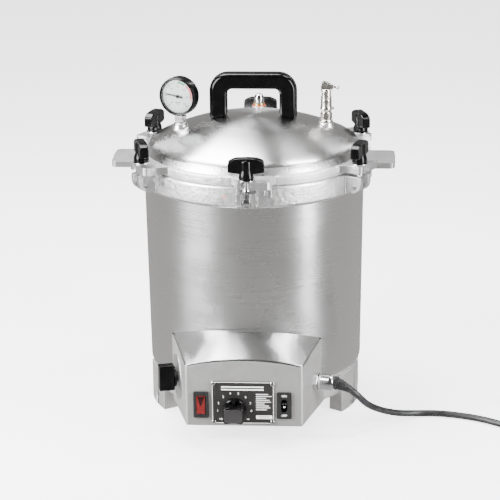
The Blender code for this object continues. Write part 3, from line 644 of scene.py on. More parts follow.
def lettering(text, size, place, depth=0.12):
    """Raised lettering, centred on the place's origin in its X and Y, in millimetres."""
    curve = bpy.data.curves.new("text", "FONT")
    curve.body = text
    curve.size = size
    curve.extrude = depth
    curve.align_x = "CENTER"
    curve.align_y = "CENTER"
    curve.resolution_u = 3
    result = settled(placed("text", curve))
    result.transform(place)
    return result


def add(name, mesh, body, slot, finish, *nodes, smooth=32):
    """A piece with this mesh, in millimetres about the axis, riding on a body in place of some CAD nodes.

    finish is the name of a paint, or a list of them. smooth is the sharpest angle that still shades as a
    curve, or None where the mesh has its own normals.
    """
    mesh.transform(Matrix.Translation(AXIS) @ Matrix.Scale(MM, 4))
    for key in finish if isinstance(finish, list) else [finish]:
        mesh.materials.append(PAINTS[key])
    if smooth is not None:
        mesh.shade_smooth()
        mesh.set_sharp_from_angle(angle=math.radians(smooth))
    obj = placed(name, mesh)
    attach(obj, body)
    if nodes:
        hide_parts(*nodes)
    return obj


# ---- mains lead

def smooth_route(route, step):
    """Points every step millimetres along a smooth curve through the route's own points."""
    dense = []
    ends = [route[0]] + list(route) + [route[-1]]
    for a, b, c, d in zip(ends, ends[1:], ends[2:], ends[3:]):
        a, b, c, d = (np.array(p, float) for p in (a, b, c, d))
        for t in np.linspace(0, 1, 20, endpoint=False):
            bend = (2 * a - 5 * b + 4 * c - d) * t**2 + (3 * b - a - 3 * c + d) * t**3
            dense.append(0.5 * (2 * b + (c - a) * t + bend))
    dense.append(np.array(route[-1], float))
    dense = np.array(dense)
    along = np.concatenate([[0], np.cumsum(np.linalg.norm(np.diff(dense, axis=0), axis=1))])
    wanted = np.linspace(0, along[-1], max(2, round(along[-1] / step)))
    return [tuple(np.interp(wanted, along, dense[:, i])[k] for i in range(3)) for k in range(len(wanted))]


def ease(value):
    value = min(1.0, max(0.0, value))
    return value * value * (3 - 2 * value)


def coil_points(start, arrive_r):
    """Four turns: two side by side on the floor and two on them, from the outside in and out again."""
    inner, outer = COIL_MID_R - CORD_R - 0.1, COIL_MID_R + CORD_R + 0.1
    low, high = CORD_R + 0.4, 3 * CORD_R + 0.6
    points = []
    for turn in range(COIL_STEP, COIL_SWEEP + 1, COIL_STEP):
        if turn <= COIL_TURNS_IN:
            radius = arrive_r + (outer - arrive_r) * ease(turn / 55)
        elif turn <= COIL_TURNS_OUT:
            radius = outer + (inner - outer) * ease((turn - COIL_TURNS_IN) / 55)
        else:
            radius = inner + (outer - inner) * ease((turn - COIL_TURNS_OUT) / 50)
        height = low + (high - low) * ease((turn - COIL_RISES) / 50)
        angle = math.radians(start + turn)
        x = COIL_CENTRE[0] + radius * math.cos(angle)
        y = COIL_CENTRE[1] + radius * math.sin(angle)
        points.append((x, y, height))
    return points


def cord_line():
    """The lead's whole centreline: gland, floor, coil and plug."""
    route = [tuple(GLAND @ Vector((0, 0, out))) for out in (15, 23, 31, 38)] + CORD_POINTS
    end = Vector(CORD_POINTS[-1])
    away = Vector((end.x - COIL_CENTRE[0], end.y - COIL_CENTRE[1]))
    start = math.degrees(math.atan2(away.y, away.x))
    coil = coil_points(start, away.length)
    x, y, z = PLUG_AT
    tail = [(470.0, -70.0, 13.6), (458.0, -60.0, 12.0), (446.0, -53.0, 10.4), (436.0, y - 0.6, z + 0.2),
            (x + 21, y, z)]
    return smooth_route(route + coil + tail, 6.0)


def power_cord():
    line = cord_line()
    curve = bpy.data.curves.new("power_cord", "CURVE")
    curve.dimensions = "3D"
    curve.bevel_depth = CORD_R * MM
    curve.bevel_resolution = 4
    curve.use_fill_caps = True
    spline = curve.splines.new("POLY")
    spline.points.add(len(line) - 1)
    for point, place in zip(spline.points, line):
        point.co = (*(Vector(place) * MM + AXIS), 1)
    spline.use_smooth = True
    curve.materials.append(PAINTS["rubber"])
    lead = placed("mains_lead", curve)
    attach(lead, "canner")
    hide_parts("power_cord", "cord_coil")
    plug = mains_plug()
    sleeve = strain_relief()
    tie = cord_tie()


def strain_relief():
    """A tapered rubber sleeve with grooves, from the gland's end."""
    profile = [(CORD_R + 0.05, 14.5), (8.6, 14.5), (8.6, 29.0), (9.6, 30.0), (9.6, 33.0, 1.0), (7.6, 34.0)]
    for k in range(4):
        z = 36.0 + 4.0 * k
        radius = 7.3 - 0.45 * k
        profile += [(radius, z), (radius - 0.8, z + 0.6), (radius - 0.8, z + 1.8), (radius - 0.1, z + 2.4)]
    profile += [(CORD_R + 0.6, 54.0, 0.5), (CORD_R + 0.05, 54.0)]
    line = [np.array(p) for p in cord_line()[:16]]
    mesh = spun(profile, 3, 32)
    follow(mesh, line)
    return add("strain_relief", mesh, "canner", "cord_rubber", "rubber")


def follow(mesh, line):
    """Bends a mesh that was made about Z, from z = 15, along the first stretch of a line."""
    lengths = [0.0]
    for a, b in zip(line, line[1:]):
        lengths.append(lengths[-1] + float(np.linalg.norm(b - a)))
    axes = GLAND.to_3x3()
    side = np.array(axes.col[0])
    for vertex in mesh.vertices:
        along = vertex.co.z - 15.0
        i = int(np.clip(np.searchsorted(lengths, along) - 1, 0, len(line) - 2))
        run = line[i + 1] - line[i]
        run = run / np.linalg.norm(run)
        at = line[i] + run * (along - lengths[i])
        up = np.cross(run, side)
        up = up / np.linalg.norm(up)
        across = np.cross(up, run)
        vertex.co = Vector(at + across * vertex.co.x + up * vertex.co.y)


def mains_plug():
    """A moulded three-pin plug with a ribbed grip and a tapered tail."""
    place = moved(*PLUG_AT) @ about_z(180)
    body = softened([(-8, -9.5, 3), (2, -12.4, 3), (14.5, -12.4, 2), (16, -10.5, 1), (16, 10.5, 1),
            (14.5, 12.4, 2), (2, 12.4, 3), (-8, 9.5, 3)], 5)
    shell = bevelled(prism(body, -8.8, 8.8), 2.6, 5)
    face = bevelled(prism(rounded(1.6, 10.6, 1.4), -8.3, 8.3), 0.5, 2)
    face.transform(moved(15.6, 0, 0))
    ribs = [bevelled(block((x, -12.9, -4.6), (x + 1.3, 12.9, 4.6)), 0.5, 2) for x in (2.5, 5.7, 8.9)]
    tail = [(CORD_R + 0.05, -24.5), (CORD_R + 1.1, -24.5, 0.5)]
    for k in range(3):
        z = -22.0 + 4.2 * k
        radius = CORD_R + 1.3 + 0.5 * k
        tail += [(radius, z), (radius, z + 2.0), (radius - 0.7, z + 2.5), (radius - 0.7, z + 3.6)]
    tail += [(8.0, -8.5), (8.0, -5.0), (CORD_R + 0.05, -5.0)]
    sleeve = spun(tail, 3, 28, about_y(90))
    blades = []
    for y in (-6.3, 6.3):
        blade = bevelled(block((15, y - 0.75, -3.1), (33, y + 0.75, 3.1)), 0.6, 2)
        blades.append(cut(blade, rod(1.4, -5, 5, 16, moved(28.5, y, 0) @ about_x(90))))
    pin = spun([(0, 15), (2.4, 15), (2.4, 36, 2), (0, 36)], 4, 24, moved(0, 0, 6.3) @ about_y(90))
    parts = [(m, 0) for m in (shell, face, sleeve, *ribs)] + [(m, 1) for m in (*blades, pin)]
    mesh = merged(*parts)
    mesh.transform(place)
    return add("plug", mesh, "canner", "cord_rubber", ["rubber", "nickel"], "mains_plug")


def cord_tie():
    """A strap round the four turns of the coil, with its free end lapped over."""
    half = 2 * CORD_R + 0.4
    outline = rounded(half, half - 0.3, 4.5, 5)
    inside = rounded(half - 0.9, half - 1.2, 3.8, 5)
    band = prism(outline, -6, 6)
    band = bevelled(cut(band, prism(inside, -10, 10)), 0.3, 2)
    lap = bevelled(block((-6, half - 0.9, -5.6), (7, half - 0.05, 5.6)), 0.4, 2)
    mesh = merged(band, lap)
    centre = moved(*COIL_CENTRE, 2 * CORD_R + 0.45)
    mesh.transform(centre @ about_z(TIE_TURN) @ moved(COIL_MID_R, 0, 0) @ about_x(90))
    return add("cord_tie", mesh, "canner", "cord_rubber", "tie")


# ---- pot and rim

def pot_shell():
    """The pot: turned wall, cast rim band with machined edges, and a radiused bottom."""
    inner = POT_R_TOP - POT_WALL
    outline = [(0, POT_FLOOR), (POT_R_LOW - 0.5, POT_FLOOR, 7), (POT_R_TOP, RING_Z - 1.2, 1),
            (RING_R - 0.6, RING_Z, 1.2), (RING_R, RING_Z + 2, 1), (RING_R, SEAM_Z - 2.2, 1),
            (RING_R - 1.2, SEAM_Z, 1), (inner, SEAM_Z, 0.6), (POT_R_LOW - POT_WALL, POT_FLOOR + 18, 12),
            (POT_R_LOW - POT_WALL - 9, POT_FLOOR + 7, 6), (0, POT_FLOOR + 6)]
    profile = softened(outline, 5)
    mesh = turned(profile, 256)

    def zone(radius, height):
        band = RING_Z + 2.4 < height < SEAM_Z - 3.2 and radius > POT_R_TOP
        edge = height > RING_Z - 2 and radius > POT_R_TOP - 1
        return 1 if band else 2 if edge else 0

    zoned(mesh, zone)
    return add("pot_shell", mesh, "canner", "cast_aluminium", ["wall", "cast", "rim"], "pot", smooth=40)


def rim_lug():
    """A cast clevis for one eye bolt, with its tab, at azimuth 0."""
    side = softened([(160, PIN_Z - 10.5, 1), (176, PIN_Z - 10.5, 6), (187, PIN_Z - 4, 6),
            (189.6, PIN_Z + 4, 3), (189.6, SEAM_Z - 2, 2), (186, SEAM_Z - 1.2, 1), (160, SEAM_Z - 1.2)], 4)
    cheeks = [bevelled(prism(side, low, high, UPRIGHT), 1.0, 3) for low,
            high in ((-13.8, -6.5), (6.5, 13.8))]
    back = bevelled(block((158, -10, PIN_Z - 9), (165.5, 10, SEAM_Z - 1.4)), 0.6, 2)
    tab = bevelled(block((158, 10, 354.7), (170.4, 25.4, 363.3)), 1.2, 3)
    foot = bevelled(block((158, -15.5, PIN_Z - 12), (165.3, 15.5, PIN_Z + 15)), 1.8, 3)
    return merged(*cheeks, back, tab, foot)


def rim_lugs():
    return add("rim_lugs", merged(*repeated(rim_lug, CLAMP_TURNS)), "canner", "cast_aluminium", "lug",
            smooth=None)


def index_mark():
    """The painted dot on the rim that shows where the lid's arrow goes."""
    place = about_z(INDEX_TURN) @ moved(RING_R, 0, 351) @ about_y(90)
    dot = spun([(0, -0.3), (1.6, -0.3), (1.6, 0.35, 0.3), (0, 0.35)], 3, 24, place)
    return add("index_mark", dot, "canner", "cast_aluminium", "red_ink")


def side_handle(name, turn):
    """A flat grip with a rolled outer edge, a hollow under it and a neck on the rim."""
    inner = RING_R - 1.5
    outline = softened([(inner, -36), (SIDE_HANDLE_R - 1, -36, 9), (SIDE_HANDLE_R, 0),
            (SIDE_HANDLE_R - 1, 36, 9), (inner, 36)], 8)
    plate = prism(outline, HANDLE_Z[0] + 0.1, HANDLE_Z[1])
    hollow = prism(rounded(14, 27, 6, 5), HANDLE_Z[0] - 5, HANDLE_Z[0] + 3.5, moved(186, 0, 0))
    plate = bevelled(cut(plate, hollow), 2.2, 4)
    neck = bevelled(block((inner, -21.8, 341.2), (RING_R + 9, 21.8, HANDLE_Z[0] + 3)), 2.0, 3)
    rib = bevelled(prism(softened([(RING_R, 344), (RING_R + 24, 356), (RING_R, 358)], 1), -2.5, 2.5,
            UPRIGHT), 0.8, 2)
    mesh = merged(plate, neck, rib)
    mesh.transform(about_z(turn))
    return add(name + "_cast", mesh, "canner", "satin_casting", "satin", name, smooth=None)


def side_handles():
    side_handle("side_handle_right", 0)
    side_handle("side_handle_left", 180)


def clamp_pins():
    for k, angle in enumerate(CLAMP_TURNS, 1):
        place = about_z(angle) @ moved(CLAMP_R, 0, PIN_Z) @ about_x(90)
        ends = softened([(0, -15.4), (2.9, -15.4, 1), (2.9, 15.4, 1), (0, 15.4)], 3)
        dimple = [turned([(0, z - 1), (1.2, z - 1), (1.2, z + 1), (0, z + 1)], 16) for z in (-15.6, 15.6)]
        mesh = cut(turned(ends, 24), *dimple)
        mesh.transform(place)
        add(f"pivot_pin_{k}", mesh, "canner", "bright_steel", "steel", f"clamp_pin_{k}")


# ---- clamps

def eye_bolt():
    """A clamp bolt about its pin: an eye, a flat shank with a slot, a cone and a threaded rod."""
    eye = spun([(3.3, -5), (7.9, -5, 0.8), (7.9, 5, 0.8), (3.3, 5)], 3, 32, about_x(90))
    flare = bevelled(prism(softened([(-4.6, 3), (4.6, 3), (5.4, 9), (5.2, 15, 1.5), (4.4, 17), (-4.4, 17),
            (-5.2, 15, 1.5), (-5.4, 9)], 3), -4.6, 4.6, OUTWARD), 1.2, 3)
    flare = cut(flare, block((-12, -0.9, 5.5), (12, 0.9, 14)))
    cone = [(0, 12), (5.2, 12), (5.2, 16.5), (4.6, 19), (3.75, 22)]
    thread = []
    for k in range(13):
        z = 22.4 + 1.25 * k
        thread += [(3.75, z), (3.25, z + 0.62)]
    rod_profile = cone + thread + [(3.7, 38), (2.9, 38.5), (0, 38.5)]
    return merged(eye, flare, turned(rod_profile, 32))


def eye_bolts():
    for k, angle in enumerate(CLAMP_TURNS, 1):
        mesh = eye_bolt()
        mesh.transform(about_z(angle) @ moved(CLAMP_R, 0, PIN_Z))
        add(f"swing_bolt_{k}", mesh, f"eye_bolt_{k}", "chrome", "chrome", f"eye_bolt_{k}")


def wing_nut():
    """A moulded knob with two thick wings, crowned on top, and a steel washer under its hub."""
    outline = softened([(-25.4, 11.5, 2), (-13, 9.6, 3), (13, 9.6, 3), (25.4, 11.5, 2), (25.4, 26.5, 3),
            (16, 31.4, 6), (0, 31.9), (-16, 31.4, 6), (-25.4, 26.5, 3)], 5)
    wings = bevelled(prism(outline, -6.4, 6.4, OUTWARD), 2.2, 5)
    hub = softened([(6.5, 0.9), (9.9, 0.9, 0.8), (11.2, 3, 1.5), (10.6, 9, 2), (8.8, 13, 3), (8.6, 27.5, 3),
            (6, 29.4, 2), (0, 29.6), (0, 9.6), (6.5, 9.6)], 5)
    washer = spun([(6.5, 0), (12.4, 0, 0.3), (12.4, 1.0, 0.3), (6.5, 1.0)], 2, 48)
    return merged((wings, 0), (turned(hub, 48), 0), (washer, 1))


def wing_nuts():
    for k, (angle, turn) in enumerate(zip(CLAMP_TURNS, NUT_TURNS), 1):
        mesh = wing_nut()
        mesh.transform(about_z(angle) @ moved(CLAMP_R, 0, NUT_Z) @ about_z(turn))
        add(f"knob_nut_{k}", mesh, f"wing_nut_{k}", "black_phenolic", ["phenolic", "chrome"],
                f"wing_nut_{k}", smooth=50)


# ---- lid

def lid_dome():
    """The crown, its shoulder and the cast band that sits on the pot's rim."""
    low = SEAM_Z + 0.3
    edge = dome_z(145)
    crown = [(r, dome_z(r)) for r in range(0, 145, 5)] + [(145, edge)]
    shoulder = softened([(145, edge), (151.5, edge - 4.2, 3), (156, edge - 11.5, 4),
            (158.2, FLANGE_TOP + 0.8, 1), (FLANGE_R, FLANGE_TOP - 1.2, 1), (FLANGE_R, low + 1, 0.7),
            (FLANGE_R - 1, low, 0.5), (152, low), (152, FLANGE_TOP - 2, 2), (147, FLANGE_TOP + 6, 5)], 5,
            closed=False)
    inside = [(r, dome_z(r) - LID_WALL) for r in range(140, -1, -10)]
    mesh = turned(crown + shoulder[1:] + inside, 256)
    for x, y in BOSSES:
        mesh = cut(mesh, rod(5.3, 380, 440, 32, moved(x, y, 0)))

    def zone(radius, height):
        band = radius > 157 and height < FLANGE_TOP + 1
        ledge = radius > 152.5 and height < edge - 7
        return 1 if band else 2 if ledge else 0

    zoned(mesh, zone)
    add("lid_shell", mesh, "lid", "cast_aluminium", ["dome", "cast", "rim"], "lid", smooth=40)


def lid_ear():
    """A cast ear with an open slot for the bolt, and the arm that hangs past the rim's tab."""
    outline = softened([(154, -24, 3), (172, -16.5, 8), (188, -15.4, 3), (190.8, -13, 2),
            (190.8, -6.6, 0.5),
            (CLAMP_R - 2, -6.6)] + arc((CLAMP_R - 1, 0), 6.6, 260, 100, 8) + [(CLAMP_R - 2, 6.6),
            (190.8, 6.6, 0.5), (190.8, 30, 3), (187, 34.4, 3), (169, 34.4, 6), (154, 40, 3)], 4)
    plate = bevelled(prism(outline, EAR_LOW + 0.1, EAR_TOP - 0.2), 1.2, 3)
    arm = bevelled(block((164.8, 28.5, 352.2), (171.8, 34.3, EAR_LOW + 3)), 0.9, 3)
    seat = spun([(6.7, EAR_TOP - 0.6), (12.2, EAR_TOP - 0.6), (12.2, EAR_TOP + 0.2, 0.3),
            (6.7, EAR_TOP + 0.2)], 2, 40, moved(CLAMP_R, 0, 0))
    seat = cut(seat, block((CLAMP_R, -6.6, EAR_TOP - 5), (CLAMP_R + 20, 6.6, EAR_TOP + 5)))
    return merged((plate, 0), (arm, 0), (seat, 1))


def lid_ears():
    return add("lid_ears", merged(*repeated(lid_ear, CLAMP_TURNS)), "lid", "cast_aluminium", ["lug", "rim"],
            smooth=None)


def lid_bosses():
    """The raised pads under the gauge and the two valves, with a turned top face."""
    parts = []
    for x, y in BOSSES:
        top = dome_z(math.hypot(x, y))
        outline = [(5.3, top - 3), (12.5, top - 3), (11.2, top + 1.6, 3), (10.4, top + BOSS_UP, 1),
                (5.3, top + BOSS_UP)]
        parts.append(spun(outline, 4, 48, moved(x, y, 0)))
    return add("lid_bosses", merged(*parts), "lid", "cast_aluminium", "rim")


def top_handle():
    """A thick U with rounded section, on two feet that follow the dome."""
    reach, inside, shoulder, corner = 63.5, 37.8, 27.0, 7.0
    under = HANDLE_TOP - 24.0 - corner
    low = [dome_z(reach) - 1.0, dome_z(inside) - 1.0]
    outer = [(-reach, low[0])] + arc((-reach + shoulder, HANDLE_TOP - shoulder), shoulder, 180, 90, 10)
    outer += arc((reach - shoulder, HANDLE_TOP - shoulder), shoulder, 90, 0, 10) + [(reach, low[0])]
    inner = [(inside, low[1])] + arc((inside - corner, under), corner, 0, 90, 5)
    inner += arc((corner - inside, under), corner, 90, 180, 5) + [(-inside, low[1])]
    grip = prism(outer + inner, -10.9, 10.9, UPRIGHT)
    grip = bevelled(grip, 6.5, 6, 60)
    return add("carrying_handle", grip, "lid", "black_phenolic", "phenolic", "top_handle", smooth=None)


def handle_bolts():
    """Round heads with a cross recess inside the lid, under each foot of the handle."""
    for name, x in (("handle_bolt_left", -HANDLE_BOLT_X), ("handle_bolt_right", HANDLE_BOLT_X)):
        top = dome_z(HANDLE_BOLT_X) - LID_WALL - 2.5
        head = softened([(0, top - 4), (4.6, top - 4, 1.6), (5.5, top - 2, 1), (5.5, top), (2.5, top),
                (2.5, 447), (0, 447)])
        cross = [block((-3, -0.6, top - 6), (3, 0.6, top - 2.4)), block((-0.6, -3, top - 6),
                (0.6, 3, top - 2.4))]
        mesh = cut(turned(head, 32), *cross)
        mesh.transform(moved(x, 0, 0))
        add(name + "_screw", mesh, "lid", "bright_steel", "steel", name)


# ---- gauge and valves

def gauge_face():
    x, y = GAUGE_XY
    return moved(x, y, GAUGE_Z) @ about_z(-GAUGE_YAW) @ about_x(90)


def gauge():
    x, y = GAUGE_XY
    seat = boss_seat(x, y)
    washer = spun([(5, -0.2), (9.8, -0.2), (9.8, 0.7, 0.2), (5, 0.7)], 2, 40)
    hexagon = bevelled(rod(8.8, 0.5, 4.2, 6), 0.5, 2)
    neck = turned([(0, -15), (4.4, -15), (4.9, -14), (4.9, 1), (0, 1)], 32)
    stem = bevelled(block((-6.4, -6.4, 3.8), (6.4, 6.4, GAUGE_Z - 29.3 - seat)), 0.7, 3)
    post = rod(4.4, GAUGE_Z - 30 - seat, GAUGE_Z - 18.4 - seat, 32)
    mesh = merged(washer, hexagon, neck, stem, post)
    mesh.transform(moved(x, y, seat) @ about_z(-GAUGE_YAW))
    add("gauge_fitting", mesh, "lid", "bright_steel", "steel", "gauge_stem")

    face = gauge_face()
    case = softened([(0, -12), (20, -12, 3), (26, -9, 4), (28.4, -5, 2), (28.5, 8.6, 1), (28.3, 11, 1.6),
            (26.2, 12, 1), (24.9, 11.6, 0.6), (24.4, 9.6), (24.4, 5.9), (0, 5.9)], 5)
    add("gauge_housing", turned(case, 96, face), "lid", "black_phenolic", "phenolic", "gauge_case")
    lens = turned([(0, 9.9), (24.1, 9.9), (24.1, 10.6), (18, 11.0), (9, 11.3), (0, 11.4)], 96, face)
    add("gauge_window", lens, "lid", "clear", "glass", "gauge_lens")
    gauge_dial(face)

    pointer = prism([(-1.6, -8), (1.6, -8), (1.3, -2), (1.2, 2), (0.6, 19.6), (-0.6, 19.6), (-1.2, 2),
            (-1.3, -2)], 7.9, 8.4)
    hub = spun([(0, 7.5), (2.6, 7.5), (2.6, 9.0, 0.5), (1.0, 9.3), (0, 9.3)], 3, 32)
    mesh = merged((bevelled(pointer, 0.12, 1), 0), (hub, 1))
    mesh.transform(face @ about_z(NEEDLE_REST))
    add("dial_pointer", mesh, "gauge_needle", "dark_plastic", ["black_ink", "plastic"], "gauge_needle")


def gauge_dial(face):
    """The white dial: a scale over three quarters of a turn, numbers, and green and red bands."""
    plate = turned([(0, 6.2), (24.1, 6.2), (24.1, 7.0), (0, 7.0)], 96)
    ink = []
    divisions, sweep = 30, 270
    for k in range(divisions + 1):
        long = k % 5 == 0
        turn = about_z(135 - sweep * k / divisions)
        width = 0.5 if long else 0.28
        ink.append(block((-width, 17.4 if long else 19.2, 6.9), (width, 21.4, 7.1), turn))
        if long:
            spot = turn @ Vector((0, 14.3, 7.02))
            ink.append(lettering(str(k), 4.4, moved(*spot), 0.05))
    ink.append(block((-4.6, -9.6, 6.9), (4.6, -8.8, 7.1)))
    ink.append(block((-3.2, -11.6, 6.9), (3.2, -10.9, 7.1)))

    def band(first, last, r_low, r_high):
        start, end = 225 - sweep * first / divisions, 225 - sweep * last / divisions
        return prism(arc((0, 0), r_high, start, end, 24) + arc((0, 0), r_low, end, start, 24), 6.95, 7.08)

    green = band(15.2, 18.6, 19.0, 22.0)
    red = band(19.2, 26.5, 20.0, 22.0)
    mesh = merged((plate, 0), *[(m, 1) for m in ink], (green, 2), (red, 3))
    mesh.transform(face)
    finishes = ["dial", "black_ink", "green_ink", "red_ink"]
    add("gauge_scale", mesh, "lid", "dial_white", finishes, "gauge_dial")


def control_valve():
    """Base, hexagon, ring, drilled barrel with a forked top, and the cam lever on its pin."""
    x, y = VALVE_XY
    seat = boss_seat(x, y)
    pin = VALVE_PIN_Z
    base = spun([(0, seat - 15), (4.9, seat - 15), (4.9, seat), (9.6, seat, 0.3), (9.6, seat + 2, 0.6),
            (7.6, seat + 3.5, 0.6), (7.2, seat + 5), (0, seat + 5)], 3, 40)
    hexagon = bevelled(rod(8.9, seat + 4.2, seat + 13.5, 6), 0.6, 3)
    waist = spun([(0, seat + 13), (7.4, seat + 13), (7.0, seat + 15.5, 1), (8.3, seat + 17, 1),
            (9.0, seat + 18.6, 1), (9.0, seat + 20.8, 1), (8.2, seat + 22.6, 1), (7.9, seat + 24),
            (0, seat + 24)], 3, 40)
    barrel = spun([(0, seat + 23), (7.7, seat + 23), (7.9, seat + 25, 0.6), (7.9, seat + 33, 0.4),
            (7.4, seat + 34), (7.9, seat + 35, 0.4), (7.9, pin + 1.6, 1.4), (6.4, pin + 3.1, 1),
            (0, pin + 3.1)], 3, 48)
    holes = [rod(1.0, -20, 20, 16,
            moved(0, 0, seat + 29.5) @ about_z(30 + 60 * k) @ about_x(90)) for k in range(3)]
    fork = block((-20, -LEVER_HALF - 0.3, pin - 9.4), (20, LEVER_HALF + 0.3, pin + 10))
    bore = rod(1.75, -20, 20, 20, moved(0, 0, pin) @ about_x(90))
    barrel = cut(barrel, fork, bore, *holes)
    knob = spun([(0, 7), (1.5, 7), (1.5, 9.4), (2.3, 9.9, 0.4), (2.3, 11.4, 0.7), (0, 11.6)], 3, 24,
            moved(0, 0, seat + 20) @ about_y(90))
    mesh = merged(base, hexagon, waist, barrel, knob)
    mesh.transform(moved(x, y, 0))
    add("regulator_body", mesh, "lid", "chrome", "nickel", "valve_body")

    cam = softened([(-7.8, -1, 2), (5, -1, 1.5), (8, 1.5, 1.5), (10.8, 3.6, 1), (10.8, 6.8, 1), (6, 9.8, 3),
            (0, 12.8, 3), (-4, 13.8, 2), (-6.4, 12, 2), (-7.8, 8, 2)], 4)
    plate = bevelled(prism(cam, -LEVER_HALF, LEVER_HALF, UPRIGHT), 0.8, 3)
    axle = spun([(0, -7.6), (1.5, -7.6, 0.5), (1.5, 7.6, 0.5), (0, 7.6)], 3, 20, about_x(90))
    arm = rod(1.5, 0, 5, 20, moved(10, 0, 5.3) @ about_y(98))
    ball = bpy.data.meshes.new("ball")
    work = bmesh.new()
    bmesh.ops.create_uvsphere(work, u_segments=24, v_segments=14, radius=2.75)
    work.to_mesh(ball)
    work.free()
    ball.transform(moved(16.5, 0, 4.5))
    mesh = merged(plate, axle, arm, ball)
    mesh.transform(moved(x, y, pin))
    add("regulator_lever", mesh, "valve_lever", "chrome", "nickel", "valve_lever", smooth=45)


def relief_valve():
    """The safety valve: brass body on a red seal, and a bright domed cap."""
    x, y = RELIEF_XY
    seat = boss_seat(x, y)
    seal = spun([(5, -0.1), (9.8, -0.1, 0.5), (9.8, 1.2, 0.5), (5, 1.2)], 3, 40)
    body = spun([(0, -15), (4.9, -15), (4.9, 1), (8.6, 1), (8.6, 3.9, 0.6), (4.4, 3.9), (4.4, 8.8),
            (0, 8.8)], 3, 6 * 8)
    mesh = merged((seal, 1), (body, 0))
    mesh.transform(moved(x, y, seat))
    add("safety_body", mesh, "lid", "brass", ["brass", "silicone"], "relief_body")
    cap = softened([(4.9, 0), (7.7, 0, 0.5), (7.7, 6.5, 2.5), (6.4, 11, 2.5), (3.4, 13.4, 2), (0, 13.8),
            (0, 8.6), (4.9, 8.6)], 5)
    mesh = turned(cap, 48, moved(x, y, seat + 4.4))
    add("safety_cap", mesh, "relief_cap", "chrome", "chrome", "relief_cap")


# ---- base housing

def roof_height(x, y):
    """The control box's roof: crowned across, steeper to the pot in the middle than at its sides."""
    back = y - PANEL_Y
    half = PANEL_HALF + (BOX_BACK_HALF - PANEL_HALF) * back / (BOX_BACK_Y - PANEL_Y)
    u = (x - BOX_X) / half
    return PANEL_TOP + ROOF_CROWN * (1 - u * u) + (ROOF_SLOPE - ROOF_FALL * u * u) * back


def box_edge():
    """The control box from above, front left round to front right, without its front."""
    return [(BOX_X - BOX_BACK_HALF, BOX_BACK_Y), (BOX_X - PANEL_HALF, PANEL_Y),
            (BOX_X + PANEL_HALF, PANEL_Y), (BOX_X + BOX_BACK_HALF, BOX_BACK_Y)]


def box_block(inset, low):
    """The control box as one solid, pulled in by inset, from low up to its crowned roof."""
    rows = [PANEL_Y + inset] + [PANEL_Y + 11 * k for k in range(1, 9)] + [BOX_BACK_Y, -95, -75, -55, -35]
    columns = 44
    points = []
    for y in rows:
        spread = min(1.0, (y - PANEL_Y) / (BOX_BACK_Y - PANEL_Y))
        half = PANEL_HALF + (BOX_BACK_HALF - PANEL_HALF) * spread - inset
        for k in range(columns + 1):
            x = BOX_X + half * (2 * k / columns - 1)
            points.append((x, y, roof_height(x, y) - inset))
    count = len(points)
    points += [(x, y, low) for x, y, _ in points]
    faces = []
    wide = columns + 1
    for j in range(len(rows) - 1):
        for k in range(columns):
            i = j * wide + k
            faces.append((i, i + 1, i + wide + 1, i + wide))
    rim = list(range(wide)) + [j * wide + columns for j in range(1, len(rows))]
    rim += [(len(rows) - 1) * wide + k for k in range(columns - 1, -1, -1)]
    rim += [j * wide for j in range(len(rows) - 2, 0, -1)]
    for a, b in zip(rim, rim[1:] + rim[:1]):
        faces.append((a, b, count + b, count + a))
    faces.append([count + i for i in rim])
    mesh = mesh_of(points, faces)
    work = bmesh.new()
    work.from_mesh(mesh)
    loose = [v for v in work.verts if not v.link_faces]
    bmesh.ops.delete(work, geom=loose, context="VERTS")
    work.to_mesh(mesh)
    work.free()
    return mesh


def box_shell():
    """The cast control box, hollow, and open at the back where it meets the pot and the drum."""
    solid = bevelled(box_block(0.0, BASE_BOTTOM), 2.6, 5, 40)
    openings = [prism(rounded(8, 16, 2), -10, 10, panel_frame(x, WINDOW_Z)) for x in (LAMP_X, SWITCH_X)]
    openings.append(rod(5.5, -10, 10, 24, panel_frame(KNOB_X, KNOB_Z)))
    openings.append(rod(8.8, -10, 10, 32, GLAND))
    openings.append(rod(7.6, -10, 10, 32, SELECTOR))
    shell = cut(solid, rod(POT_R_TOP + 0.6, 60, 320, 160), rod(BASE_R - 1.5, -5, 70, 160),
            box_block(4.0, 5.0), merged(*openings))
    shell = evened(shell)
    numbers = [1 if face.normal.z > 0.35 and face.center.z > 100 else 0 for face in shell.polygons]
    shell.polygons.foreach_set("material_index", numbers)
    return shell


def base_foot():
    """A cast foot at azimuth 0: rounded, splayed at the floor, with a hollow in its face."""
    outer, inner, half = POT_R_LOW - 0.2, 134.5, 11.3
    outline = arc((0, 0), outer, -half, half, 12) + arc((0, 0), inner, half, -half, 8)
    solid = prism(outline, 0.1, POT_FLOOR - 1.7)
    hollow = prism([(148, -9.5), (162, -9.5), (162, 9.5), (148, 9.5)], 2.5, 17.5)
    hollow = cut(hollow, prism([(140, -12), (170, -12), (170, -1.5)], -5, 30))
    return bevelled(cut(solid, hollow), 1.6, 3)


def base_housing():
    drum = softened([(BASE_R - 6, BASE_BOTTOM), (BASE_R - 0.5, BASE_BOTTOM, 1.5),
            (BASE_R - 0.5, POT_FLOOR - 4.5, 1), (BASE_R + 1.2, POT_FLOOR - 3.6, 0.8),
            (BASE_R + 1.2, POT_FLOOR - 0.5, 0.8), (BASE_R - 6, POT_FLOOR - 0.5)], 3)
    mesh = merged(box_shell(), turned(drum, 192), *repeated(base_foot, FEET))
    return add("control_housing", mesh, "canner", "cast_aluminium", ["housing", "roof"], "base_housing",
            smooth=None)


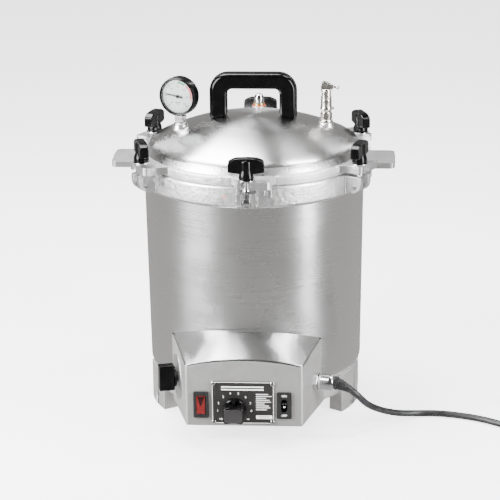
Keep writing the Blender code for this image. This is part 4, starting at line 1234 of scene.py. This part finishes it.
def bottom_cover():
    low, high = BASE_BOTTOM + 1, BASE_BOTTOM + 3.2
    disc = rod(BASE_R - 6.8, low, high, 128)
    tray = []
    for x, y in box_edge():
        tray.append((x + (5 if x < BOX_X else -5), y + (5 if y == PANEL_Y else 0)))
    tray = prism(tray + [(BOX_X + 105, -110), (BOX_X - 105, -110)], low + 0.05, high - 0.05)
    slots = [prism(rounded(2.5, 60, 2.4), low - 5, high + 5, moved(x, 0, 0)) for x in range(-60, 61, 20)]
    mesh = merged(cut(disc, merged(*slots)), cut(tray, rod(BASE_R - 7.2, 0, 80, 128)))
    for x, y in ((-120.0, 40.0), (120.0, 40.0), (-60.0, -170.0), (60.0, -185.0)):
        head = spun([(0, low + 0.4), (3.6, low + 0.4), (3.2, low - 0.5, 0.5), (0, low - 0.8)], 3, 20,
                moved(x, y, 0))
        mesh = merged(mesh, head)
    return add("base_cover", mesh, "canner", "satin_casting", "satin", "bottom_cover")


# ---- control panel

def screw_places():
    inset = 2.6
    heights = (PLATE_Z[0] + inset, PLATE_Z[1] - inset)
    return [(x, z) for x in (PLATE_X[0] + inset, PLATE_X[1] - inset) for z in heights]


def face_bar(x, z, wide, high):
    """A thin printed bar on the faceplate with its middle at x and z on the panel."""
    return block((-wide / 2, -high / 2, PLATE_THICK - 0.05), (wide / 2, high / 2, PLATE_THICK + 0.06),
            panel_frame(x, z))


def faceplate():
    """The dark plate: a light edge, stripes, the dial's numbers and rows of plain bars."""
    x, z = (PLATE_X[0] + PLATE_X[1]) / 2, (PLATE_Z[0] + PLATE_Z[1]) / 2
    half_x, half_z = (PLATE_X[1] - PLATE_X[0]) / 2, (PLATE_Z[1] - PLATE_Z[0]) / 2
    outline = rounded(half_x - 0.1, half_z - 0.1, 2.2)
    plate = bevelled(prism(outline, GAP, PLATE_THICK, panel_frame(x, z)), 0.3, 2)
    holes = [rod(1.9, -5, 5, 16, panel_frame(*at)) for at in screw_places()]
    holes.append(rod(5.5, -5, 5, 24, panel_frame(KNOB_X, KNOB_Z)))
    plate = cut(plate, merged(*holes))
    light = []
    edge = rounded(half_x - 0.6, half_z - 0.6, 1.8)
    rim = prism(edge, PLATE_THICK - 0.05, PLATE_THICK + 0.05, panel_frame(x, z))
    inside = prism(rounded(half_x - 1.2, half_z - 1.2, 1.4), 0, 5, panel_frame(x, z))
    light.append(cut(rim, inside))
    light.append(face_bar(x - 0.5, 88.2, 60, 1.7))
    light.append(face_bar(x - 0.5, 84.2, 60, 1.7))
    for k in range(8):
        turn = math.radians(90 + NUMBERS_SWEEP / 2 - NUMBERS_SWEEP * k / 7)
        at = (KNOB_X + NUMBERS_R * math.cos(turn), KNOB_Z + NUMBERS_R * math.sin(turn))
        light.append(lettering(str(k + 1), 5.0, panel_frame(*at) @ moved(0, 0, PLATE_THICK), 0.06))
    for degrees, word in ((-40, "HI"), (220, "LO")):
        turn = math.radians(degrees)
        at = (KNOB_X + (NUMBERS_R + 1) * math.cos(turn), KNOB_Z + NUMBERS_R * math.sin(turn))
        light.append(lettering(word, 3.6, panel_frame(*at) @ moved(0, 0, PLATE_THICK), 0.06))
    for row, length in enumerate((17, 22, 14, 19, 21, 12, 18, 20, 15)):
        light.append(face_bar(12.5 + length / 2, 77.5 - 2.9 * row, length, 0.8))
    light.append(face_bar(23.8, 43.0, 22.5, 5.2))
    low, high = PLATE_THICK + 0.02, PLATE_THICK + 0.1
    dark = [block((-8, -0.4, low), (8, 0.4, high), panel_frame(23.8, 43.0 + dz)) for dz in (-1.1, 1.1)]
    mesh = merged((plate, 0), *[(m, 1) for m in light], *[(m, 0) for m in dark])
    add("dial_plate", mesh, "canner", "dark_plate", ["plate", "ink"], "faceplate")


def faceplate_screws():
    for k, (x, z) in enumerate(screw_places(), 1):
        head = softened([(0, -8), (1.6, -8), (1.6, PLATE_THICK + GAP), (3.25, PLATE_THICK + GAP, 0.2),
                (3.1, PLATE_THICK + 1.3, 0.8), (1.8, PLATE_THICK + 2.0, 0.8), (0, PLATE_THICK + 2.2)], 3)
        recess = [block((-1.9, -0.35, PLATE_THICK + 1.1), (1.9, 0.35, 9)),
                block((-0.35, -1.9, PLATE_THICK + 1.1), (0.35, 1.9, 9))]
        mesh = cut(turned(head, 32), *recess)
        mesh.transform(panel_frame(x, z) @ about_z(20 + 31 * k))
        add(f"plate_screw_{k}", mesh, "canner", "chrome", "chrome", f"faceplate_screw_{k}")


def thermostat_knob():
    """A gloss skirt with a raised pointer, scooped sides and a matte inlaid face."""
    skirt = spun([(3.4, 2.7), (16.9, 2.7, 0.6), (16.9, 5.4, 1), (14.6, 8.2, 1.5), (3.4, 8.2)], 4, 64)
    grip = prism(rounded(14.8, 12.2, 6, 8), 7, 31.2)
    scoops = [rod(40, -5, 40, 64, moved(0, side * 50.6, 0)) for side in (-1, 1)]
    grip = bevelled(cut(grip, *scoops), 1.6, 4, 40)
    pointer = bevelled(block((-1.9, 8, 3), (1.9, 16.7, 20)), 1.2, 3)
    face = bevelled(prism(rounded(13.2, 10.0, 5, 8), 31.0, 31.9), 0.35, 2)
    bore = rod(3.3, -1, 21, 24)
    mesh = merged((cut(grip, bore), 0), (skirt, 0), (pointer, 0), (face, 1))
    mesh.transform(panel_frame(KNOB_X, KNOB_Z))
    add("control_knob", mesh, "thermostat_knob", "black_phenolic", ["phenolic", "cap"], "thermostat_knob",
            smooth=40)


def lamp():
    place = panel_frame(LAMP_X, WINDOW_Z)
    window = prism(rounded(6.5, 14, 1), -6, 9, place)
    bezel = cut(bevelled(prism(rounded(10.8, 19.8, 2), GAP, BEZEL, place), 0.9, 3), window)
    case = cut(prism(rounded(7.5, 15.5, 1.5), -24, GAP + 0.4, place), window)
    add("lamp_bezel", merged(bezel, case), "canner", "dark_plastic", "plastic", "lamp_body")
    lens = bevelled(prism(rounded(6.1, 13.6, 1), -5.6, BEZEL + 1.0, place), 0.6, 3)
    top = BEZEL + 1.0
    # A dark triangle over the top of the lens: painted shade, where the bezel's top shades it.
    shade = prism([(-5.4, 12.9), (5.4, 12.9), (0, -2.5)][::-1], top - 0.1, top + 0.12, place)
    add("lamp_window", merged((lens, 0), (shade, 1)), "canner", "red_lens", ["lens", "lens_painted_shadow"],
            "lamp_lens")


def switch():
    place = panel_frame(SWITCH_X, WINDOW_Z)
    slot = prism(rounded(4.4, 9.8, 4.3), -12, 9, place)
    bezel = cut(bevelled(prism(rounded(10.6, 20.0, 2), GAP, BEZEL, place), 0.9, 3), slot)
    case = cut(prism(rounded(7.5, 15.5, 1.5), -30, GAP + 0.4, place), slot)
    lip = cut(prism(rounded(5.4, 10.8, 5.2), BEZEL - 0.3, BEZEL + 0.5, place), slot)
    labels = (("ON", 14.8), ("OFF", -14.8))
    words = [lettering(text, 4.4, place @ moved(0, y, BEZEL), 0.06) for text, y in labels]
    mesh = merged((bezel, 0), (case, 0), (lip, 0), *[(m, 1) for m in words])
    add("switch_bezel", mesh, "canner", "dark_plastic", ["plastic", "ink"], "switch_body")
    ball = spun([(0, -3.2), (2.5, -3.2, 0.8), (2.5, 3.2, 0.8), (0, 3.2)], 3, 24, about_y(90))
    lever = spun([(0, 0), (1.5, 0), (2.0, 8.2, 1), (1.6, 9.6, 0.8), (0, 9.9)], 4, 24, about_x(TOGGLE_TILT))
    mesh = merged(ball, lever)
    mesh.transform(moved(SWITCH_X, PANEL_Y + TOGGLE_DEEP, WINDOW_Z) @ about_x(90))
    add("toggle_lever", mesh, "switch_toggle", "chrome", "chrome", "switch_toggle")


def gland():
    nut = bevelled(cut(rod(13.3, GAP, 6, 6), rod(8.8, -5, 15, 32)), 0.7, 3)
    nut.transform(GLAND)
    add("lock_nut", nut, "canner", "bright_steel", "steel", "gland_nut")
    profile = [(7.5, -9), (8.4, -9), (8.4, 7), (10.9, 7, 0.4), (11.4, 10, 1)]
    for k in range(6):
        z = 11.0 + 2.0 * k
        profile += [(11.4, z), (10.9, z + 0.7), (11.4, z + 1.4)]
    profile += [(11.4, 24, 1), (9.9, 27.8, 2), (7.6, 29.6, 1), (8.9, 29.6), (8.9, 14.0)]
    barrel = spun(profile + [(CORD_R + 0.4, 14.0), (CORD_R + 0.4, -9)], 3, 64, GLAND)
    add("gland_barrel", barrel, "canner", "chrome", "chrome", "gland_body")


def selector():
    profile = softened([(7.6, GAP), (32.8, GAP, 0.3), (32.8, 1.5, 0.5), (28, 1.5), (27.4, 1.1), (26.8, 1.5),
            (7.6, 1.5)], 3)
    plate = turned(profile, 96, SELECTOR)
    add("selector_disc", plate, "canner", "cast_aluminium", "rim", "selector_plate")
    flange = spun([(3.4, 3.7), (14.9, 3.7, 0.6), (14.9, 6.3, 0.8), (3.4, 6.3)], 4, 64)
    grip = bevelled(cut(prism(rounded(7.9, 18.8, 2.5, 6), 6, 27.8), rod(3.3, -1, 15, 24)), 1.2, 4)
    mark = bevelled(block((-2.8, -20.8, 12.2), (2.8, -18, 16.8)), 0.6, 2)
    mesh = merged(flange, grip, mark)
    mesh.transform(SELECTOR)
    add("selector_grip", mesh, "selector_knob", "black_phenolic", "phenolic", "selector_knob", smooth=40)


# ---- pieces kept from the CAD model

CARRIED = {
    "jar_rack": "rack",
    "heating_element": "steel",
    "element_clamp": "steel",
    "thermostat_body": "steel",
    "thermostat_sensor": "brass",
    "terminal_block": "ceramic",
    "selector_switch": "plastic",
}


def paint_carried():
    for node, finish in CARRIED.items():
        for obj in bpy.data.objects:
            if obj.type == "MESH" and obj.name == node:
                obj.data.materials.clear()
                obj.data.materials.append(PAINTS[finish])


# ---- studio

LIGHT_LEFT = 110
LIGHT_RIGHT = 55
LIGHT_TOP = 60
LIGHT_STRIP = 20
LIGHT_EDGE = 2.5
WORLD_FRONT = 0.1
WORLD_BACK = 0.28
WORLD_BELOW = 0.42
FLOOR_GLOW = 2.6


def softbox(name, place, wide, high, power, target=(0, 0, 0.25)):
    data = bpy.data.lights.new(name, "AREA")
    data.shape = "RECTANGLE"
    data.size = wide
    data.size_y = high
    data.energy = power
    light = placed(name, data)
    light.visible_camera = False
    light.location = AXIS + Vector(place)
    light.rotation_euler = (AXIS + Vector(target) - light.location).to_track_quat("-Z", "Y").to_euler()


def studio():
    softbox("left_box", (-1.33, -0.89, 0.9), 0.9, 1.4, LIGHT_LEFT)
    softbox("right_strip", (1.35, -0.855, 0.7), 0.35, 1.4, LIGHT_RIGHT)
    softbox("overhead", (-0.42, 0.4, 1.9), 0.75, 1.0, LIGHT_TOP, (0, 0, 0.4))
    softbox("top_strip", (0.8, 0.15, 1.85), 0.2, 0.6, LIGHT_STRIP, (0, 0, 0.4))
    softbox("left_edge", (-0.9, 1.48, 1.35), 0.06, 0.8, LIGHT_EDGE, (0, 0, 0.4))
    softbox("right_edge", (0.9, 1.48, 1.35), 0.06, 0.8, LIGHT_EDGE, (0, 0, 0.4))
    world = bpy.data.worlds.new("studio")
    bpy.context.scene.world = world
    world.use_nodes = True
    tree = world.node_tree
    generated = wired(tree, "ShaderNodeTexCoord", {})["Generated"]
    parts = wired(tree, "ShaderNodeSeparateXYZ", {0: generated})
    ahead = {"Value": parts["Y"], "From Min": -0.8, "From Max": 0.7, "To Min": WORLD_FRONT,
            "To Max": WORLD_BACK}
    below = {"Value": parts["Z"], "From Min": 0.0, "From Max": -0.6, "To Min": 0.0, "To Max": WORLD_BELOW}
    shades = [wired(tree, "ShaderNodeMapRange", inputs)["Result"] for inputs in (ahead, below)]
    both = wired(tree, "ShaderNodeMath", {0: shades[0], 1: shades[1]}, operation="ADD")[0]
    background = tree.nodes["Background"].inputs
    tree.links.new(both, background["Strength"])
    background["Color"].default_value = (1.0, 0.975, 0.955, 1)


def floor():
    """A pale sweep. The metal doesn't mirror it, as if black card lay just out of the picture."""
    mesh = mesh_of([(-6, -6, 0), (6, -6, 0), (6, 6, 0), (-6, 6, 0)], [(0, 1, 2, 3)])
    paint = Paint("floor", (0.9, 0.9, 0.9), 0.7, Emission_Strength=FLOOR_GLOW)
    paint.shader["Emission Color"].default_value = (1, 1, 1, 1)
    grain = paint.noise(paint.place, 30, 3)
    paint.colour(grain, (0.895, 0.895, 0.895), (0.91, 0.91, 0.91))
    mesh.materials.append(paint.material)
    obj = placed("floor", mesh)
    obj.visible_glossy = False


# ---- the whole scene

def build():
    make_camera()
    for make in (power_cord, pot_shell, rim_lugs, index_mark, side_handles, clamp_pins, eye_bolts,
            wing_nuts, lid_dome, lid_ears, lid_bosses, top_handle, handle_bolts, gauge, control_valve,
            relief_valve, base_housing, bottom_cover, faceplate, faceplate_screws, thermostat_knob, lamp,
            switch, gland, selector):
        make()
    paint_carried()
    studio()
    floor()


build()
